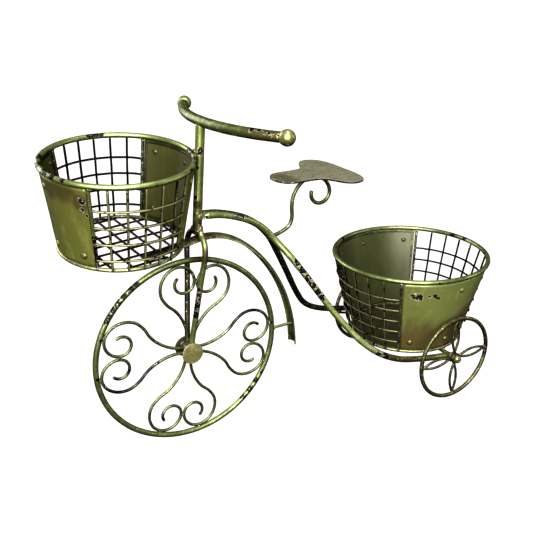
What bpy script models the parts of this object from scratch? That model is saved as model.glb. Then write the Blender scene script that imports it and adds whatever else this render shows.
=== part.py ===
"""Bicycle planter: a bent-rod tricycle that carries a small pot basket in front and a large one behind.

Metres, +Z up. +X points to the rear of the tricycle and +Y to the rider's right.
The wheels stand on z = 0, and the middle of the whole planter is at x = y = 0.
"""

import math

import bmesh
import bpy
from mathutils import Matrix, Vector

# Both sides, as the rider sees them
rider_sides = ((-1, "left"), (1, "right"))

# Clearances
seat_gap = 0.0003
turning_gap = 0.0003
cut_overrun = 0.002
weld_distance = 0.00005
settling_steps = 4

# Front wheel: a rod ring round a spool hub
front_rim_radius = 0.1202
front_rim_rod_radius = 0.0039
front_rim_steps = 40
rim_sides = 8
hub_core_radius = 0.0075
hub_flange_radius = 0.0145
hub_flange_thickness = 0.0018
hub_half_length = 0.0126
hub_edge_round = 0.0006

# Scrolls: four hearts of two S-bends each, given as bends of a rod (radius or length share, turn)
scroll_rod_radius = 0.002
scroll_end_gap = 0.0009
heart_count = 4
heart_turn_degrees = -8.2
scroll_heading_degrees = 6.3
scroll_start_shares = (0.0318, 0.0237)
scroll_bend_shares = (
    (0.158, 0),
    (0.414, 47),
    (0.12, 0),
    (0.25, -97),
    (0.183, -137),
    (0.117, -98),
    (0.106, -122),
)
scroll_step_degrees = 32

# Mudguard: a half-round channel above and behind the front wheel, with its crown line given as bends
mudguard_clearance = 0.0222
mudguard_half_width = 0.0092
mudguard_rise = 0.004
mudguard_thickness = 0.0012
mudguard_nose_shares = (-0.341, 0.925)
mudguard_nose_heading_degrees = 8.5
mudguard_bend_shares = (
    (5.146, 4),
    (1.399, -5),
    (0.472, -22),
    (0.611, -18),
    (0.891, -8.6),
    (1.240, -11.6),
    (1.374, -18),
    (1.501, -13),
    (2.152, -4),
)
mudguard_step_degrees = 5
mudguard_profile_steps = 5
stay_rod_radius = 0.002

# Steering column and fork
column_radius = 0.0056
column_length = 0.128
column_lean_degrees = 4.1
column_foot_x = 0.0168
fork_rod_radius = 0.0035
fork_half_spread = 0.0256
fork_weld_height = 0.0078
fork_foot_splay_degrees = 9
fork_stations_shares = (
    (0.347, 1.009),
    (0.632, 0.988),
    (0.891, 0.946),
    (1.0, 0.888),
    (0.98, 0.822),
    (0.829, 0.723),
    (0.58, 0.517),
    (0.233, 0.198),
)

# Handlebar: one swept arc with a ball on each end
handlebar_radius = 0.006
handlebar_sweep_radius = 0.2131
handlebar_half_degrees = 32
handlebar_turn_degrees = 2.2
handlebar_side_shift = -0.0052
handlebar_steps = 12
grip_ball_radius = 0.0092
grip_ball_socket = 0.0035

# Rear axle, wheels and domed caps
wheelbase = 0.3556
axle_radius = 0.003
rear_rim_radius = 0.0595
rear_rim_rod_radius = 0.0032
rear_rim_steps = 28
rear_hub_radius = 0.008
rear_hub_length = 0.0095
rear_hub_edge_round = 0.001
axle_cap_radius = 0.006
axle_cap_bore_depth = 0.0028
axle_cap_steps = 5
petal_count = 4
petal_turn_degrees = 2
petal_wire_radius = 0.0017
petal_half_width = 0.0055
petal_half_steps = 6

# Frame rods: from the column, side by side, then spread to the two ends of the axle
frame_rod_radius = 0.0043
frame_weld_height = 0.0233
frame_half_width = 0.0917
frame_neck_shares = (
    (0.0, 1.0),
    (0.049, 0.995),
    (0.125, 0.968),
    (0.189, 0.930),
    (0.241, 0.879),
)
frame_fork_shares = (0.2865, 0.809)
frame_spread_shares = (
    (0.311, 0.764, 0.060),
    (0.335, 0.7175, 0.136),
    (0.369, 0.646, 0.223),
    (0.439, 0.488, 0.391),
    (0.4875, 0.379, 0.519),
    (0.536, 0.283, 0.658),
    (0.579, 0.210, 0.780),
    (0.643, 0.136, 0.907),
    (0.725, 0.080, 0.977),
    (0.835, 0.040, 1.0),
    (1.0, 0.0, 1.0),
)

# Seat post scroll and saddle plate
post_rod_radius = 0.0025
post_size = 0.0716
post_heading_degrees = 17.7
post_bend_shares = (
    (0.280, 0),
    (0.230, 74),
    (0.187, 0),
    (0.484, -62),
    (0.373, -101.5),
    (0.197, -215),
)
post_step_degrees = 24
saddle_length = 0.106
saddle_half_width = 0.060
saddle_thickness = 0.0026
saddle_ahead_share = 0.534
saddle_outline_shares = (
    (0.0, 0.0),
    (0.03, 0.22),
    (0.12, 0.38),
    (0.29, 0.41),
    (0.505, 0.44),
    (0.58, 0.60),
    (0.635, 0.80),
    (0.72, 0.97),
    (0.82, 1.0),
    (0.92, 0.90),
    (0.98, 0.67),
    (1.0, 0.33),
    (1.0, 0.0),
)
saddle_curve_steps = 2

# Front basket
front_basket_top_radius = 0.0846
front_basket_bottom_radius = 0.0706
front_basket_height = 0.1003
front_basket_side_shift = 0.011
front_basket_tilt_degrees = 6
front_mesh_half_degrees = 40
front_mesh_bays = 6
front_mesh_first_row = 0.0141
front_mesh_row_pitch = 0.0196
front_mesh_rows = 4

# Rear basket
rear_basket_top_radius = 0.1084
rear_basket_bottom_radius = 0.0774
rear_basket_height = 0.118
rear_basket_ahead = 0.0063
rear_mesh_half_degrees = 44.5
rear_mesh_bays = 7
rear_mesh_first_row = 0.018
rear_mesh_row_pitch = 0.0175
rear_mesh_rows = 5

# What both baskets share
top_ring_rod_radius = 0.0033
bottom_ring_rod_radius = 0.0023
edge_bar_radius = 0.002
panel_thickness = 0.001
panel_steps = 8
wire_radius = 0.0011
wire_bite_share = 0.35
floor_plate_thickness = 0.0012
floor_pitch = 0.0205
floor_turn_degrees = 8
basket_ring_sides = 6
top_ring_steps = 32
bottom_ring_steps = 26

# Paint
moss_green = (0.175, 0.225, 0.030)
leaf_green = (0.260, 0.330, 0.045)
olive_brown = (0.115, 0.120, 0.022)
khaki = (0.240, 0.235, 0.085)
taupe = (0.270, 0.255, 0.205)
paint_roughness = 0.36
dull_roughness = 0.55
paint_metallic_share = 0.25


def clear_scene():
    """Leaves nothing of the startup scene."""
    for obj in list(bpy.data.objects):
        bpy.data.objects.remove(obj)


def make_collection(name):
    collection = bpy.data.collections.new(name)
    bpy.context.scene.collection.children.link(collection)
    return collection


def paint(obj, colour, roughness):
    """Gives a piece a Principled material of its own."""
    material = bpy.data.materials.new(obj.name + "_paint")
    material.use_nodes = True
    shader = material.node_tree.nodes["Principled BSDF"]
    shader.inputs["Base Color"].default_value = (*colour, 1.0)
    shader.inputs["Roughness"].default_value = roughness
    shader.inputs["Metallic"].default_value = paint_metallic_share
    obj.data.materials.append(material)


def place(name, data, parent, colour, roughness=paint_roughness):
    """Puts a mesh or curve into the planter as a named piece on an empty."""
    obj = bpy.data.objects.new(name, data)
    planter.objects.link(obj)
    obj.parent = parent
    paint(obj, colour, roughness)
    return obj


def make_empty(name, location, parent=None):
    empty = bpy.data.objects.new(name, None)
    empty.location = location
    empty.parent = parent
    planter.objects.link(empty)
    return empty


def rod_curve(name, points, radius, detail=2, closed=False):
    """A round rod along a list of points, with filled ends."""
    curve = bpy.data.curves.new(name, "CURVE")
    curve.dimensions = "3D"
    curve.bevel_depth = radius
    curve.bevel_resolution = detail
    curve.use_fill_caps = not closed
    spline = curve.splines.new("POLY")
    spline.points.add(len(points) - 1)
    for point, place_at in zip(spline.points, points):
        point.co = (*place_at, 1.0)
    spline.use_cyclic_u = closed
    return curve


def smooth_mesh(mesh):
    """Shades a round mesh smooth and keeps its sharp edges."""
    mesh.shade_smooth()
    mesh.set_sharp_from_angle(angle=math.radians(40))
    return mesh


def mesh_from_curve(name, curve):
    """The mesh of a curve, with its end caps welded on."""
    helper = bpy.data.objects.new(name, curve)
    bpy.context.scene.collection.objects.link(helper)
    graph = bpy.context.evaluated_depsgraph_get()
    mesh = bpy.data.meshes.new_from_object(helper.evaluated_get(graph))
    bpy.data.objects.remove(helper)
    work = bmesh.new()
    work.from_mesh(mesh)
    bmesh.ops.remove_doubles(work, verts=work.verts, dist=weld_distance)
    bmesh.ops.recalc_face_normals(work, faces=work.faces)
    work.to_mesh(mesh)
    work.free()
    return mesh


def outline_mesh(name, points, closed):
    """A mesh of edges only, which a Screw turns into a round shape."""
    mesh = bpy.data.meshes.new(name)
    count = len(points)
    edges = [(i, (i + 1) % count) for i in range(count if closed else count - 1)]
    mesh.from_pydata(points, edges, [])
    return mesh


def sheet_mesh(name, rows):
    """A sheet without thickness through rows of points."""
    width = len(rows[0])
    faces = []
    for row in range(len(rows) - 1):
        for column in range(width - 1):
            corner = row * width + column
            faces.append((corner, corner + 1, corner + width + 1, corner + width))
    mesh = bpy.data.meshes.new(name)
    mesh.from_pydata([point for row in rows for point in row], [], faces)
    return smooth_mesh(mesh)


def turn(obj, steps):
    """Turns an outline about the object's Z axis."""
    screw = obj.modifiers.new("Turn", "SCREW")
    screw.steps = steps
    screw.render_steps = steps
    screw.use_smooth_shade = True
    screw.use_merge_vertices = True
    screw.merge_threshold = weld_distance


def rod_section(ring_radius, rod_radius, sides):
    """The outline of a round rod at a ring's radius, with a flat side facing outwards."""
    points = []
    for i in range(sides):
        angle = -2 * math.pi * (i + 0.5) / sides
        points.append((ring_radius + rod_radius * math.cos(angle), 0, rod_radius * math.sin(angle)))
    return points


def ring(name, ring_radius, rod_radius, steps, sides, parent, colour):
    """A rod bent into a full ring round the Z axis of its empty."""
    section = rod_section(ring_radius, rod_radius, sides)
    obj = place(name, outline_mesh(name, section, True), parent, colour)
    turn(obj, steps)
    return obj


def facet_reach(ring_radius, rod_radius, steps, sides):
    """How far a standing ring's lowest flat facet lies below its centre."""
    return (ring_radius + rod_radius * math.cos(math.pi / sides)) * math.cos(math.pi / steps)


def bent_path(start, heading_degrees, bends, step_degrees):
    """Points of a flat rod: each bend is a radius and a turn, or a straight length and no turn."""
    points = [Vector(start)]
    heading = math.radians(heading_degrees)
    for size, turn_degrees in bends:
        if turn_degrees == 0:
            points.append(points[-1] + size * Vector((math.cos(heading), math.sin(heading))))
            continue
        side = math.copysign(1, turn_degrees)
        centre = points[-1] + side * size * Vector((-math.sin(heading), math.cos(heading)))
        steps = max(1, round(abs(turn_degrees) / step_degrees))
        for step in range(1, steps + 1):
            angle = heading + math.radians(turn_degrees) * step / steps
            points.append(centre - side * size * Vector((-math.sin(angle), math.cos(angle))))
        heading += math.radians(turn_degrees)
    return points


def stand_up(obj, start_degrees=0):
    """Turns a round piece so that its axis runs along Y and its outline starts at an angle."""
    obj.rotation_euler = (
        Matrix.Rotation(math.radians(90), 4, "X") @ Matrix.Rotation(math.radians(start_degrees), 4, "Z")
    ).to_euler()


def fused(name, curves, parent, colour):
    """Welds crossing wires into one net."""
    nets = bpy.data.collections.new(name + "_wires")
    pieces = [bpy.data.objects.new(name, mesh_from_curve(name, curve)) for curve in curves]
    bpy.context.scene.collection.objects.link(pieces[0])
    bpy.context.scene.collection.children.link(nets)
    for piece in pieces[1:]:
        nets.objects.link(piece)
    weld = pieces[0].modifiers.new("Weld", "BOOLEAN")
    weld.operation = "UNION"
    weld.operand_type = "COLLECTION"
    weld.collection = nets
    graph = bpy.context.evaluated_depsgraph_get()
    mesh = bpy.data.meshes.new_from_object(pieces[0].evaluated_get(graph))
    for piece in pieces:
        bpy.data.objects.remove(piece)
    bpy.data.collections.remove(nets)
    mesh.materials.clear()
    return place(name, smooth_mesh(mesh), parent, colour)


def cutter(name, radius, depth, matrix, parent):
    """A round cutter that starts at its matrix and runs along its Z."""
    work = bmesh.new()
    bmesh.ops.create_cone(
        work, cap_ends=True, segments=16, radius1=radius, radius2=radius, depth=depth,
        matrix=Matrix.Translation((0, 0, depth / 2)),
    )
    mesh = bpy.data.meshes.new(name)
    work.to_mesh(mesh)
    work.free()
    obj = bpy.data.objects.new(name, mesh)
    obj.parent = parent
    obj.matrix_local = matrix
    obj.hide_render = True
    obj.display_type = "WIRE"
    cutters.objects.link(obj)
    return obj


def bored_ball(name, radius, bore_radius, bore_start, centre, axis, parent):
    """A ball with a blind bore that opens against the axis, and ends bore_start past the centre."""
    work = bmesh.new()
    bmesh.ops.create_uvsphere(work, u_segments=14, v_segments=9, radius=radius)
    mesh = bpy.data.meshes.new(name)
    work.to_mesh(mesh)
    work.free()
    ball = place(name, smooth_mesh(mesh), parent, leaf_green)
    facing = Vector(axis).to_track_quat("Z", "Y").to_matrix().to_4x4()
    ball.matrix_local = Matrix.Translation(centre) @ facing
    depth = radius + bore_start + cut_overrun
    bore_from = Vector(centre) - Vector(axis).normalized() * (radius + cut_overrun)
    tool = cutter(name + "_bore", bore_radius, depth, Matrix.Translation(bore_from) @ facing, parent)
    cut = ball.modifiers.new("Bore", "BOOLEAN")
    cut.operation = "DIFFERENCE"
    cut.object = tool
    return ball


def round_bar(name, radius, length, segments, matrix, parent, colour):
    """A straight bar along Z, centred on its matrix."""
    work = bmesh.new()
    bmesh.ops.create_cone(
        work, cap_ends=True, segments=segments, radius1=radius, radius2=radius, depth=length
    )
    mesh = bpy.data.meshes.new(name)
    work.to_mesh(mesh)
    work.free()
    obj = place(name, smooth_mesh(mesh), parent, colour)
    obj.matrix_local = matrix
    return obj


def spool_profile(core, flange, half_length, flange_thickness, bore):
    """The outline of a hub, down its outer side and back up its bore or its middle."""
    inner = half_length - flange_thickness
    return [
        (bore, 0, half_length), (flange - hub_edge_round, 0, half_length),
        (flange, 0, half_length - hub_edge_round), (flange, 0, inner),
        (core, 0, inner), (core, 0, -inner),
        (flange, 0, -inner), (flange, 0, -half_length + hub_edge_round),
        (flange - hub_edge_round, 0, -half_length), (bore, 0, -half_length),
    ]


def build_front_wheel():
    rim = ring(
        "front_rim", front_rim_radius, front_rim_rod_radius, front_rim_steps, rim_sides, wheel_frame, moss_green
    )
    stand_up(rim, 180 / front_rim_steps)
    profile = spool_profile(hub_core_radius, hub_flange_radius, hub_half_length, hub_flange_thickness, 0)
    hub = place("front_hub", outline_mesh("front_hub", profile, False), wheel_frame, khaki)
    turn(hub, 24)
    stand_up(hub)


def scroll_outline():
    """One S-bend beside its heart's middle line, which is the first axis."""
    reach = front_rim_radius - front_rim_rod_radius - seat_gap - scroll_rod_radius
    unit = bent_path(scroll_start_shares, scroll_heading_degrees, scroll_bend_shares, scroll_step_degrees)
    furthest = max(point.length for point in unit)
    path = [point * reach / furthest for point in unit]
    side_room = scroll_rod_radius + seat_gap / 2
    curl = path[len(path) // 3:]
    swing = max(math.asin(side_room / p.length) - math.atan2(p.y, p.x) for p in curl)
    turned = [Matrix.Rotation(swing, 2) @ point for point in path]
    start_radius = hub_core_radius + scroll_end_gap
    along = (turned[1] - turned[0]).normalized()
    middle = turned[0].dot(along)
    off_square = turned[0].length_squared - middle ** 2
    turned[0] = turned[0] + along * (math.sqrt(start_radius ** 2 - off_square) - middle)
    return turned


def build_scrolls():
    outline = scroll_outline()
    number = 1
    for heart in range(heart_count):
        angle = math.radians(heart_turn_degrees + 360 * heart / heart_count)
        facing = Matrix.Rotation(angle, 2)
        for side in (1, -1):
            flat = [facing @ Vector((p.x, side * p.y)) for p in outline]
            points = [(p.x, 0, p.y) for p in flat]
            name = f"front_scroll_{number}"
            place(name, rod_curve(name, points, scroll_rod_radius, detail=1), wheel_frame, moss_green)
            number += 1


def mudguard_line():
    """The mudguard's crown line from nose to tail, from the front wheel's centre."""
    nose = [mudguard_reach * share for share in mudguard_nose_shares]
    bends = [(mudguard_reach * share, degrees) for share, degrees in mudguard_bend_shares]
    return bent_path(nose, mudguard_nose_heading_degrees, bends, mudguard_step_degrees)


def crown_at(known, value):
    """One coordinate of the crown line (0 is x, 1 is z) where the other one has a value."""
    line = mudguard_line()
    spans = list(zip(line, line[1:]))
    crossed = [span for span in spans if (span[0][known] - value) * (span[1][known] - value) <= 0]
    start, end = crossed[-1] if crossed else spans[0]
    share = (value - start[known]) / (end[known] - start[known])
    return start.lerp(end, share)[1 - known]


def build_mudguard():
    """A strip with a half-round section, swept along its crown line, and its short stay."""
    bend_radius = (mudguard_half_width ** 2 + mudguard_rise ** 2) / (2 * mudguard_rise)
    half_angle = math.asin(mudguard_half_width / bend_radius)
    line = mudguard_line()
    rows = []
    for i, point in enumerate(line):
        along = line[min(i + 1, len(line) - 1)] - line[max(i - 1, 0)]
        outward = Vector((-along.y, along.x)).normalized()
        row = []
        for j in range(mudguard_profile_steps + 1):
            angle = half_angle * (1 - 2 * j / mudguard_profile_steps)
            spot = point - outward * bend_radius * (1 - math.cos(angle))
            row.append((spot.x, bend_radius * math.sin(angle), spot.y))
        rows.append(row)
    guard = place("mudguard", sheet_mesh("mudguard", rows), wheel_frame, moss_green)
    shell = guard.modifiers.new("Sheet", "SOLIDIFY")
    shell.thickness = mudguard_thickness
    shell.offset = -1
    stay_from = front_rim_radius + front_rim_rod_radius + seat_gap
    stay_to = crown_at(1, stay_rod_radius) - mudguard_thickness - 2 * seat_gap
    points = [(stay_from, 0, 0), (stay_to, 0, 0)]
    place("mudguard_stay", rod_curve("mudguard_stay", points, stay_rod_radius), wheel_frame, moss_green)


def column_x(height):
    """Where the column's axis is at a height above the floor."""
    return column_foot_x + (height - column_foot_z) * math.tan(column_lean)


def build_column_and_fork():
    direction = Vector((math.sin(column_lean), 0, math.cos(column_lean)))
    foot = Vector((column_foot_x, 0, column_foot_z))
    middle = Matrix.Translation(foot + direction * column_length / 2)
    leaning = middle @ Matrix.Rotation(column_lean, 4, "Y")
    round_bar("steering_column", column_radius, column_length, 16, leaning, body_frame, moss_green)
    top = foot + direction * (column_length + handlebar_radius + seat_gap)
    splay = math.radians(fork_foot_splay_degrees)
    foot_y = hub_half_length - hub_flange_thickness - seat_gap - fork_rod_radius / math.cos(splay)
    foot_y -= (hub_flange_radius - hub_core_radius) * math.tan(splay)
    foot_z = front_hub_z + hub_core_radius + fork_rod_radius * math.tan(splay) + seat_gap
    for side, label in rider_sides:
        weld_y = column_radius + fork_rod_radius + seat_gap
        weld_z = column_foot_z + fork_weld_height
        points = [(column_x(weld_z), side * weld_y, weld_z)]
        for y_share, z_share in (*fork_stations_shares, (0, 0)):
            y = foot_y + y_share * (fork_half_spread - foot_y)
            z = foot_z + z_share * (column_foot_z - foot_z)
            lean_x = column_foot_x * (z - front_hub_z) / (column_foot_z - front_hub_z)
            points.append((lean_x, side * y, z))
        name = f"fork_blade_{label}"
        place(name, rod_curve(name, points, fork_rod_radius), body_frame, moss_green)
    return top


def build_handlebar(weld):
    """The bar sits a little to one side of its weld, and is turned a little to the rear on that side."""
    half = math.radians(handlebar_half_degrees)
    turned = Matrix.Rotation(math.radians(handlebar_turn_degrees), 3, "Z")
    middle = weld + Vector((0, handlebar_side_shift, 0))
    points = []
    for i in range(handlebar_steps + 1):
        angle = half * (2 * i / handlebar_steps - 1)
        sweep = Vector((1 - math.cos(angle), math.sin(angle), 0)) * handlebar_sweep_radius
        points.append(middle + turned @ sweep)
    bar = rod_curve("handlebar", points, handlebar_radius, detail=3)
    place("handlebar", bar, body_frame, moss_green)
    balls = []
    for side, label in rider_sides:
        end = points[-1] if side > 0 else points[0]
        axis = turned @ Vector((math.sin(half), side * math.cos(half), 0))
        stand_off = grip_ball_radius - grip_ball_socket
        centre = end + axis * (stand_off + seat_gap)
        balls.append(bored_ball(
            f"handlebar_ball_{label}", grip_ball_radius, handlebar_radius + seat_gap,
            -stand_off, centre, axis, body_frame,
        ))
    return balls


def frame_route():
    """Points of the right frame rod, and the fork point where the seat post stands."""
    weld_z = column_foot_z + frame_weld_height
    start_x = column_x(weld_z) + column_radius / math.cos(column_lean) + seat_gap
    end_x = wheelbase - axle_radius - seat_gap
    near_y = frame_rod_radius + seat_gap / 2
    fork_y = frame_rod_radius + post_rod_radius + seat_gap

    def at(x_share, z_share, y):
        return Vector((start_x + x_share * (end_x - start_x), y, axle_z + z_share * (weld_z - axle_z)))

    route = [at(x_share, z_share, near_y) for x_share, z_share in frame_neck_shares]
    fork_point = at(*frame_fork_shares, fork_y)
    route.append(fork_point)
    for x_share, z_share, y_share in frame_spread_shares:
        route.append(at(x_share, z_share, fork_y + y_share * (frame_half_width - fork_y)))
    return route, fork_point


def build_frame_rods(route):
    for side, label in rider_sides:
        points = [(p.x, side * p.y, p.z) for p in route]
        name = f"frame_rod_{label}"
        place(name, rod_curve(name, points, frame_rod_radius), body_frame, leaf_green)


def build_seat(fork_point):
    """The scrolled post, which stands between the frame rods, and the flat saddle plate on its back."""
    bends = [(post_size * share, degrees) for share, degrees in post_bend_shares]
    flat = bent_path((fork_point.x, fork_point.z), post_heading_degrees, bends, post_step_degrees)
    points = [(p.x, 0, p.y) for p in flat]
    place("seat_post", rod_curve("seat_post", points, post_rod_radius), body_frame, moss_green)
    crest = max(flat, key=lambda p: p.y)
    half = [(x * saddle_length, y * saddle_half_width) for x, y in saddle_outline_shares]
    outline = half + [(x, -y) for x, y in reversed(half[1:-1])]
    curve = bpy.data.curves.new("saddle", "CURVE")
    curve.dimensions = "2D"
    curve.fill_mode = "BOTH"
    curve.extrude = saddle_thickness / 2
    curve.resolution_u = saddle_curve_steps
    spline = curve.splines.new("BEZIER")
    spline.bezier_points.add(len(outline) - 1)
    for point, (x, y) in zip(spline.bezier_points, outline):
        point.co = (x, y, 0)
        point.handle_left_type = "AUTO"
        point.handle_right_type = "AUTO"
    spline.use_cyclic_u = True
    saddle = place("saddle", curve, body_frame, taupe, dull_roughness)
    saddle_z = crest.y + post_rod_radius + seat_gap + saddle_thickness / 2
    saddle.location = (crest.x - saddle_length * saddle_ahead_share, 0, saddle_z)


def build_axle():
    """The axle, and on each end a dome that keeps the wheel on it."""
    along = Matrix.Rotation(math.radians(90), 4, "X")
    at_axle = Matrix.Translation((wheelbase, 0, axle_z))
    length = 2 * (axle_cap_y + axle_cap_bore_depth - seat_gap)
    round_bar("rear_axle", axle_radius, length, 16, at_axle @ along, body_frame, moss_green)
    bore = axle_radius + seat_gap
    profile = []
    for i in range(axle_cap_steps + 1):
        angle = math.pi / 2 * (1 - i / axle_cap_steps)
        profile.append((axle_cap_radius * math.cos(angle), 0, axle_cap_radius * math.sin(angle)))
    profile += [(bore, 0, 0), (bore, 0, axle_cap_bore_depth), (0, 0, axle_cap_bore_depth)]
    for side, label in rider_sides:
        cap = place(f"axle_cap_{label}", outline_mesh("axle_cap", profile, False), body_frame, leaf_green)
        turn(cap, 16)
        facing = Matrix.Rotation(math.radians(-90 * side), 4, "X")
        cap.matrix_local = Matrix.Translation((wheelbase, side * axle_cap_y, axle_z)) @ facing


def petal_points(length, start):
    """A pointed loop of wire from the hub to the rim."""
    points = []
    for side in (1, -1):
        for i in range(petal_half_steps):
            share = i / petal_half_steps if side > 0 else 1 - i / petal_half_steps
            width = side * petal_half_width * math.sin(math.pi * share)
            points.append(Vector((start + length * share, width)))
    return points


def build_rear_wheel(side, label):
    centre = (wheelbase, side * rear_wheel_y, axle_z)
    wheel = make_empty(f"rear_wheel_{label}_axis", centre, body_frame)
    rim = ring(
        f"rear_rim_{label}", rear_rim_radius, rear_rim_rod_radius, rear_rim_steps, rim_sides,
        wheel, moss_green,
    )
    stand_up(rim, 180 / rear_rim_steps)
    bore = axle_radius + turning_gap
    half = rear_hub_length / 2
    round_off = rear_hub_edge_round
    profile = [
        (bore, 0, half), (rear_hub_radius - round_off, 0, half), (rear_hub_radius, 0, half - round_off),
        (rear_hub_radius, 0, -half + round_off), (rear_hub_radius - round_off, 0, -half), (bore, 0, -half),
    ]
    hub = place(f"rear_hub_{label}", outline_mesh("rear_hub", profile, True), wheel, khaki)
    turn(hub, 20)
    stand_up(hub)
    start = rear_hub_radius + seat_gap + petal_wire_radius
    end = rear_rim_radius - rear_rim_rod_radius - seat_gap - petal_wire_radius
    for petal in range(petal_count):
        angle = math.radians(petal_turn_degrees + 360 * petal / petal_count)
        flat = [Matrix.Rotation(angle, 2) @ p for p in petal_points(end - start, start)]
        points = [(p.x, 0, p.y) for p in flat]
        name = f"rear_petal_{label}_{petal + 1}"
        wire = rod_curve(name, points, petal_wire_radius, detail=1, closed=True)
        place(name, wire, wheel, moss_green)


def on_wall(angle, radius, height):
    return (radius * math.cos(angle), radius * math.sin(angle), height)


def build_panel(name, facing, half_angle, wall, foot, head, parent):
    """A curved sheet between two edge bars."""
    angles = [facing + half_angle * (2 * i / panel_steps - 1) for i in range(panel_steps + 1)]
    rows = [[on_wall(angle, wall(height), height) for angle in angles] for height in (foot, head)]
    panel = place(name, sheet_mesh(name, rows), parent, olive_brown)
    sheet = panel.modifiers.new("Sheet", "SOLIDIFY")
    sheet.thickness = panel_thickness
    sheet.offset = 0


def build_side_net(name, facing, half_angle, bays, rows, wall, head, bottom_radius, parent):
    """Upright wires from the top ring to the outside of the bottom ring, with round wires outside them."""
    foot_radius = bottom_radius + bottom_ring_rod_radius + seat_gap + wire_radius
    curves = []
    for i in range(1, bays):
        angle = facing + half_angle * (2 * i / bays - 1)
        ends = [on_wall(angle, foot_radius, 0), on_wall(angle, wall(head), head)]
        curves.append(rod_curve(name, ends, wire_radius, detail=0))
    bay = 2 * half_angle / bays
    for height in rows:
        radius = foot_radius + (wall(head) - foot_radius) * height / head
        radius += wire_radius * (2 - wire_bite_share)
        end = half_angle - (edge_bar_radius + seat_gap) / radius
        angles = [-end, *[bay * (i + 0.5) - half_angle for i in range(bays)], end]
        points = [on_wall(facing + angle, radius / math.cos(bay / 2), height) for angle in angles]
        curves.append(rod_curve(name, points, wire_radius, detail=0))
    fused(name, curves, parent, moss_green)


def build_floor_net(name, ring_radius, parent):
    """Two crossing layers of straight wires, cut off at the bottom ring."""
    ring_inside = ring_radius - bottom_ring_rod_radius - seat_gap
    curves = []
    count = int(ring_inside / floor_pitch)
    for layer in range(2):
        turned = Matrix.Rotation(math.radians(floor_turn_degrees + 90 * layer), 3, "Z")
        height = layer * wire_radius * (2 - wire_bite_share)
        for i in range(-count, count + 1):
            offset = i * floor_pitch
            half = math.sqrt(ring_inside ** 2 - (abs(offset) + wire_radius) ** 2)
            ends = [turned @ Vector((x, offset, height)) for x in (-half, half)]
            curves.append(rod_curve(name, ends, wire_radius, detail=0))
    fused(name, curves, parent, moss_green)


def build_floor_plate(name, ring_radius, parent):
    """A flat disc inside the bottom ring, with as many sides as the ring."""
    radius = ring_radius - bottom_ring_rod_radius * math.cos(math.pi / basket_ring_sides) - seat_gap
    top = floor_plate_thickness / 2
    profile = [(0, 0, top), (radius, 0, top), (radius, 0, -top), (0, 0, -top)]
    plate = place(name, outline_mesh(name, profile, False), parent, olive_brown)
    turn(plate, bottom_ring_steps)


def build_basket(label, parent, top_radius, bottom_radius, height, net_facings, half_angle, bays, rows):
    """Two rings, four edge bars, two curved panels and two side nets."""
    def wall(z):
        return bottom_radius + (top_radius - bottom_radius) * z / height

    head = height - top_ring_rod_radius - seat_gap
    foot = bottom_ring_rod_radius + seat_gap
    top = ring(
        f"{label}_basket_top_ring", top_radius, top_ring_rod_radius, top_ring_steps, basket_ring_sides,
        parent, leaf_green,
    )
    top.location = (0, 0, height)
    ring(
        f"{label}_basket_bottom_ring", bottom_radius, bottom_ring_rod_radius, bottom_ring_steps, basket_ring_sides,
        parent, moss_green,
    )
    bar = 1
    panel_half = math.pi / 2 - half_angle
    for facing, net_name, panel_name in net_facings:
        build_side_net(
            f"{label}_basket_net_{net_name}", facing, half_angle, bays, rows, wall, head, bottom_radius,
            parent,
        )
        edge_room = (edge_bar_radius + seat_gap) / bottom_radius
        build_panel(
            f"{label}_basket_panel_{panel_name}", facing + math.pi / 2, panel_half - edge_room,
            wall, foot, head, parent,
        )
        for side in (-1, 1):
            angle = facing + side * half_angle
            ends = [on_wall(angle, wall(z), z) for z in (foot, head)]
            name = f"{label}_basket_edge_bar_{bar}"
            place(name, rod_curve(name, ends, edge_bar_radius), parent, leaf_green)
            bar += 1


def build_front_basket():
    """Welded to the column by its top ring, and resting on the mudguard by its bottom ring."""
    tilt = math.radians(front_basket_tilt_degrees)
    top_y = front_basket_side_shift
    base_y = top_y + front_basket_height * math.sin(tilt)
    rest_x = math.sqrt(front_basket_bottom_radius ** 2 - base_y ** 2)
    reach = front_basket_top_radius + top_ring_rod_radius + column_radius + seat_gap
    ahead = math.sqrt(reach ** 2 - top_y ** 2)
    base_x = column_foot_x - ahead
    for _ in range(settling_steps):
        base_z = front_hub_z + crown_at(0, base_x + rest_x) + seat_gap
        base_z += bottom_ring_rod_radius / math.cos(tilt) + base_y * math.sin(tilt)
        base_x = column_x(base_z + front_basket_height * math.cos(tilt)) - ahead
    holder = make_empty("front_basket_frame", (base_x, base_y, base_z), body_frame)
    holder.rotation_euler = (tilt, 0, 0)
    facings = ((math.pi / 2, "right", "front"), (-math.pi / 2, "left", "rear"))
    rows = [front_mesh_first_row + i * front_mesh_row_pitch for i in range(front_mesh_rows)]
    build_basket(
        "front", holder, front_basket_top_radius, front_basket_bottom_radius, front_basket_height,
        facings, math.radians(front_mesh_half_degrees), front_mesh_bays, rows,
    )
    build_floor_net("front_basket_floor", front_basket_bottom_radius, holder)
    return base_x - front_basket_top_radius - top_ring_rod_radius


def build_rear_basket():
    """Welded by its bottom ring to the top of the rear axle."""
    base = (wheelbase - rear_basket_ahead, 0, axle_z + axle_radius + seat_gap + bottom_ring_rod_radius)
    holder = make_empty("rear_basket_frame", base, body_frame)
    facings = ((0, "rear", "right"), (math.pi, "front", "left"))
    rows = [rear_mesh_first_row + i * rear_mesh_row_pitch for i in range(rear_mesh_rows)]
    build_basket(
        "rear", holder, rear_basket_top_radius, rear_basket_bottom_radius, rear_basket_height,
        facings, math.radians(rear_mesh_half_degrees), rear_mesh_bays, rows,
    )
    build_floor_plate("rear_basket_floor", rear_basket_bottom_radius, holder)
    return base[0] + rear_basket_top_radius + top_ring_rod_radius


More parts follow.
